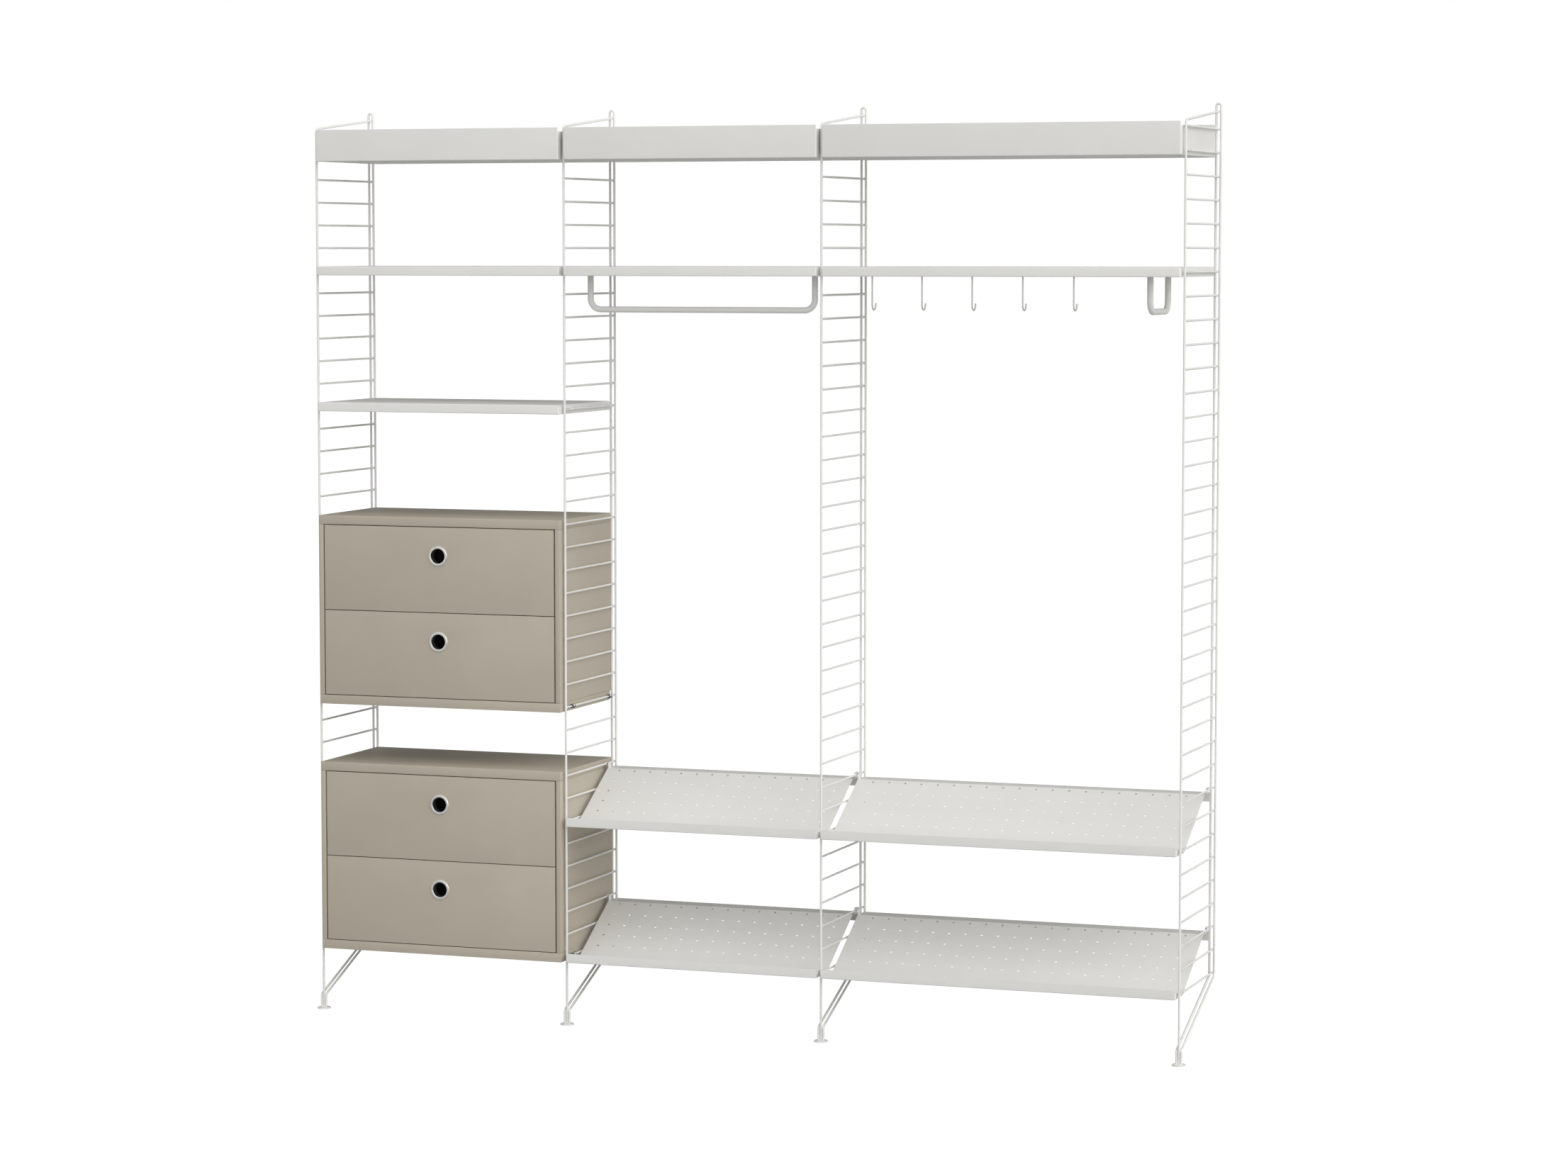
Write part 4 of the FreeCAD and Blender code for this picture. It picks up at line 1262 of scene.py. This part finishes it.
# %% Drawer fronts
FRONT_ROUND = 0.7 * MM
PULL_HOLE = 36.8 * MM
PULL_HOLE_SIDES = 64
DRAWERS = [f"{cabinet}_cabinet_{level}_drawer" for cabinet in CABINETS for level in ("upper", "lower")]
for drawer in DRAWERS:
    low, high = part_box(f"{drawer}_front")
    pull_low, pull_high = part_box(f"{drawer}_pull")
    shape = bmesh.new()
    soft_box(shape, low, high, FRONT_ROUND)
    front = finished(f"{drawer}_face", shape, beige_lacquer)
    centre = ((pull_low.x + pull_high.x) / 2, (low.y + high.y) / 2, (pull_low.z + pull_high.z) / 2)
    grow(front, hole_tree, {
        "Columns": 1, "Rows": 1, "Column Span": 0.0, "Row Span": 0.0, "Centre": centre, "Tilt": math.pi / 2,
        "Hole Diameter": PULL_HOLE, "Depth": 2 * (high.y - low.y), "Sides": PULL_HOLE_SIDES,
        "Coat": beige_lacquer,
    })
    dress(front, drawer, "beige_board", f"{drawer}_front")

# %% Ring pulls
PULL_PROUD = 2.5 * MM
PULL_RADIUS = 22.0 * MM
PULL_BORE = 16.5 * MM
PULL_TUBE = 18.3 * MM
PULL_INNER_ROUND = 0.9 * MM
PULL_OUTER_ROUND = 1.4 * MM
PULL_REAR_ROUND = 0.15 * MM
PULL_SIDES = 72
for drawer in DRAWERS:
    low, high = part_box(f"{drawer}_pull")
    depth = high.y - low.y
    ring_outline = rounded(
        [(PULL_BORE, depth), (PULL_BORE, 0), (PULL_RADIUS, 0), (PULL_RADIUS, PULL_PROUD),
         (PULL_TUBE, PULL_PROUD), (PULL_TUBE, depth)],
        [PULL_INNER_ROUND, PULL_OUTER_ROUND, PULL_REAR_ROUND, 0],
    )
    x, y, z = (low.x + high.x) / 2, low.y, (low.z + high.z) / 2
    pull = turned_piece(
        f"{drawer}_ring", ring_outline, satin_pull, lambda a, b, h: (x + a, y + h, z + b),
        sides=PULL_SIDES, closed=True,
    )
    dress(pull, drawer, "pull_metal", f"{drawer}_pull")

# %% [markdown]
# Cabinet clips. A cabinet hangs on its lower rung with four small straps. A strap is screwed to the
# board, goes over the rung and has a black rubber ring on each side, so the lacquer doesn't touch the
# wire. They are small, but the black rings are plain to see in the photograph. Each could be modelled in
# its place; here three templates are set out on the same places.

# %% Strap template
STRAP = 1.5 * MM
STRAP_WIDTH = 7.0 * MM
STRAP_FOOT = 9.0 * MM
STRAP_BEND = 2.0 * MM
reach = END_GAP + rung_clear
strap_top = rung_clear + STRAP
strap_line = rounded(
    [(0, -STRAP_FOOT), (0, strap_top), (reach + STRAP, strap_top), (reach + STRAP, -TAB_LIP)],
    [STRAP_BEND, STRAP_BEND],
)
shape = bmesh.new()
bent_strip(shape, strap_line, -STRAP, (-STRAP_WIDTH / 2, STRAP_WIDTH / 2), lambda u, v, w: (u, w, v))
strap = finished("strap_template", shape, white_coat)
print("a strap reaches", round(reach / MM, 2), "mm from its board")

# %% Rubber ring template
SLEEVE_LENGTH = 3.0 * MM
SLEEVE_WALL = 2.1 * MM
SLEEVE_PLAY = 0.25 * MM
SLEEVE_INNER_ROUND = 0.3 * MM
SLEEVE_OUTER_ROUND = 0.6 * MM
SLEEVE_SIDES = 28
half = SLEEVE_LENGTH / 2
outer = rung_clear + SLEEVE_WALL
sleeve_outline = rounded(
    [(rung_clear, 0), (rung_clear, half), (outer, half), (outer, -half), (rung_clear, -half),
     (rung_clear, 0)],
    [SLEEVE_INNER_ROUND, SLEEVE_OUTER_ROUND, SLEEVE_OUTER_ROUND, SLEEVE_INNER_ROUND],
)
sleeve = turned_piece(
    "sleeve_template", sleeve_outline[:-1], black_rubber, lambda a, b, h: (a, h, b),
    sides=SLEEVE_SIDES, closed=True,
)
print("a rubber ring is", round(2 * outer / MM, 2), "mm across")

# %% Screw template
SCREW_HEAD = 2.8 * MM
SCREW_HEIGHT = 1.6 * MM
SCREW_DROP = 6.0 * MM
SCREW_LENGTH = 16.0 * MM
SCREW_SHANK = 1.5 * MM
SCREW_SOCKET = 1.1 * MM
SOCKET_ROUND = 0.15 * MM
HEAD_ROUND = 0.9 * MM
SHANK_ROUND = 0.4 * MM
SCREW_SIDES = 24
screw_outline = rounded(
    [(0, SCREW_HEIGHT / 2), (SCREW_SOCKET, SCREW_HEIGHT / 2), (SCREW_SOCKET, SCREW_HEIGHT),
     (SCREW_HEAD, SCREW_HEIGHT), (SCREW_HEAD, 0), (SCREW_SHANK, 0), (SCREW_SHANK, -SCREW_LENGTH),
     (0, -SCREW_LENGTH)],
    [0, SOCKET_ROUND, HEAD_ROUND, 0, 0, SHANK_ROUND],
)
screw = turned_piece(
    "screw_template", screw_outline, zinc_screw, lambda a, b, h: (h, a, b), sides=SCREW_SIDES
)
print("a screw is", round((SCREW_LENGTH + SCREW_HEIGHT) / MM, 1), "mm long")

# %% Setting out the clips
CLIP_RUNGS = (25, 36)
beside_strap = STRAP_WIDTH / 2 + SLEEVE_PLAY + SLEEVE_LENGTH / 2
strap_places, sleeve_places, screw_places = [], [], []
for index in CLIP_RUNGS:
    z = rung_height(index)
    for panel, side, front_tab in (("left", -1, LEFT_TAB), ("mid_left", 1, RIGHT_TAB)):
        end_x = panel_x[panel] - side * END_GAP
        facing = 0 if side > 0 else math.pi
        for start in (front_wire + front_tab, rear_tab_right):
            middle = start + TAB_WIDTH / 2
            strap_places.append((end_x, middle, z, facing))
            screw_places.append((end_x + side * STRAP, middle, z - SCREW_DROP, facing))
            sleeve_places.append((panel_x[panel], middle - beside_strap, z, 0))
            sleeve_places.append((panel_x[panel], middle + beside_strap, z, 0))
dress(set_out("clip_straps", strap, strap_places, white_coat), "root", "white_metal", "cabinet_clips")
dress(set_out("clip_rings", sleeve, sleeve_places, black_rubber), "root", "sleeve_rubber", "clip_sleeves")
dress(set_out("clip_screw_set", screw, screw_places, zinc_screw), "root", "screw_steel", "clip_screws")

# %% [markdown]
# Inside the cabinets. The backs, drawer boxes, drawer bottoms and runners are plain boards and strips
# whose CAD shape is already right, so they stay as they are and only get a finish. They could be modelled
# again with softened edges, but that would add nothing to see.

# %% Finishes for the inner pieces
INNER_FINISHES = {
    "_cabinet_back": back_film, "_cabinet_runners": zinc_strip, "_drawer_box": drawer_film,
    "_drawer_bottom": drawer_film, "_drawer_runners": nylon,
}
for name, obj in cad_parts.items():
    for ending, coat in INNER_FINISHES.items():
        if name.endswith(ending):
            obj.material_slots[0].material = coat
            print(name, "gets", coat.name)
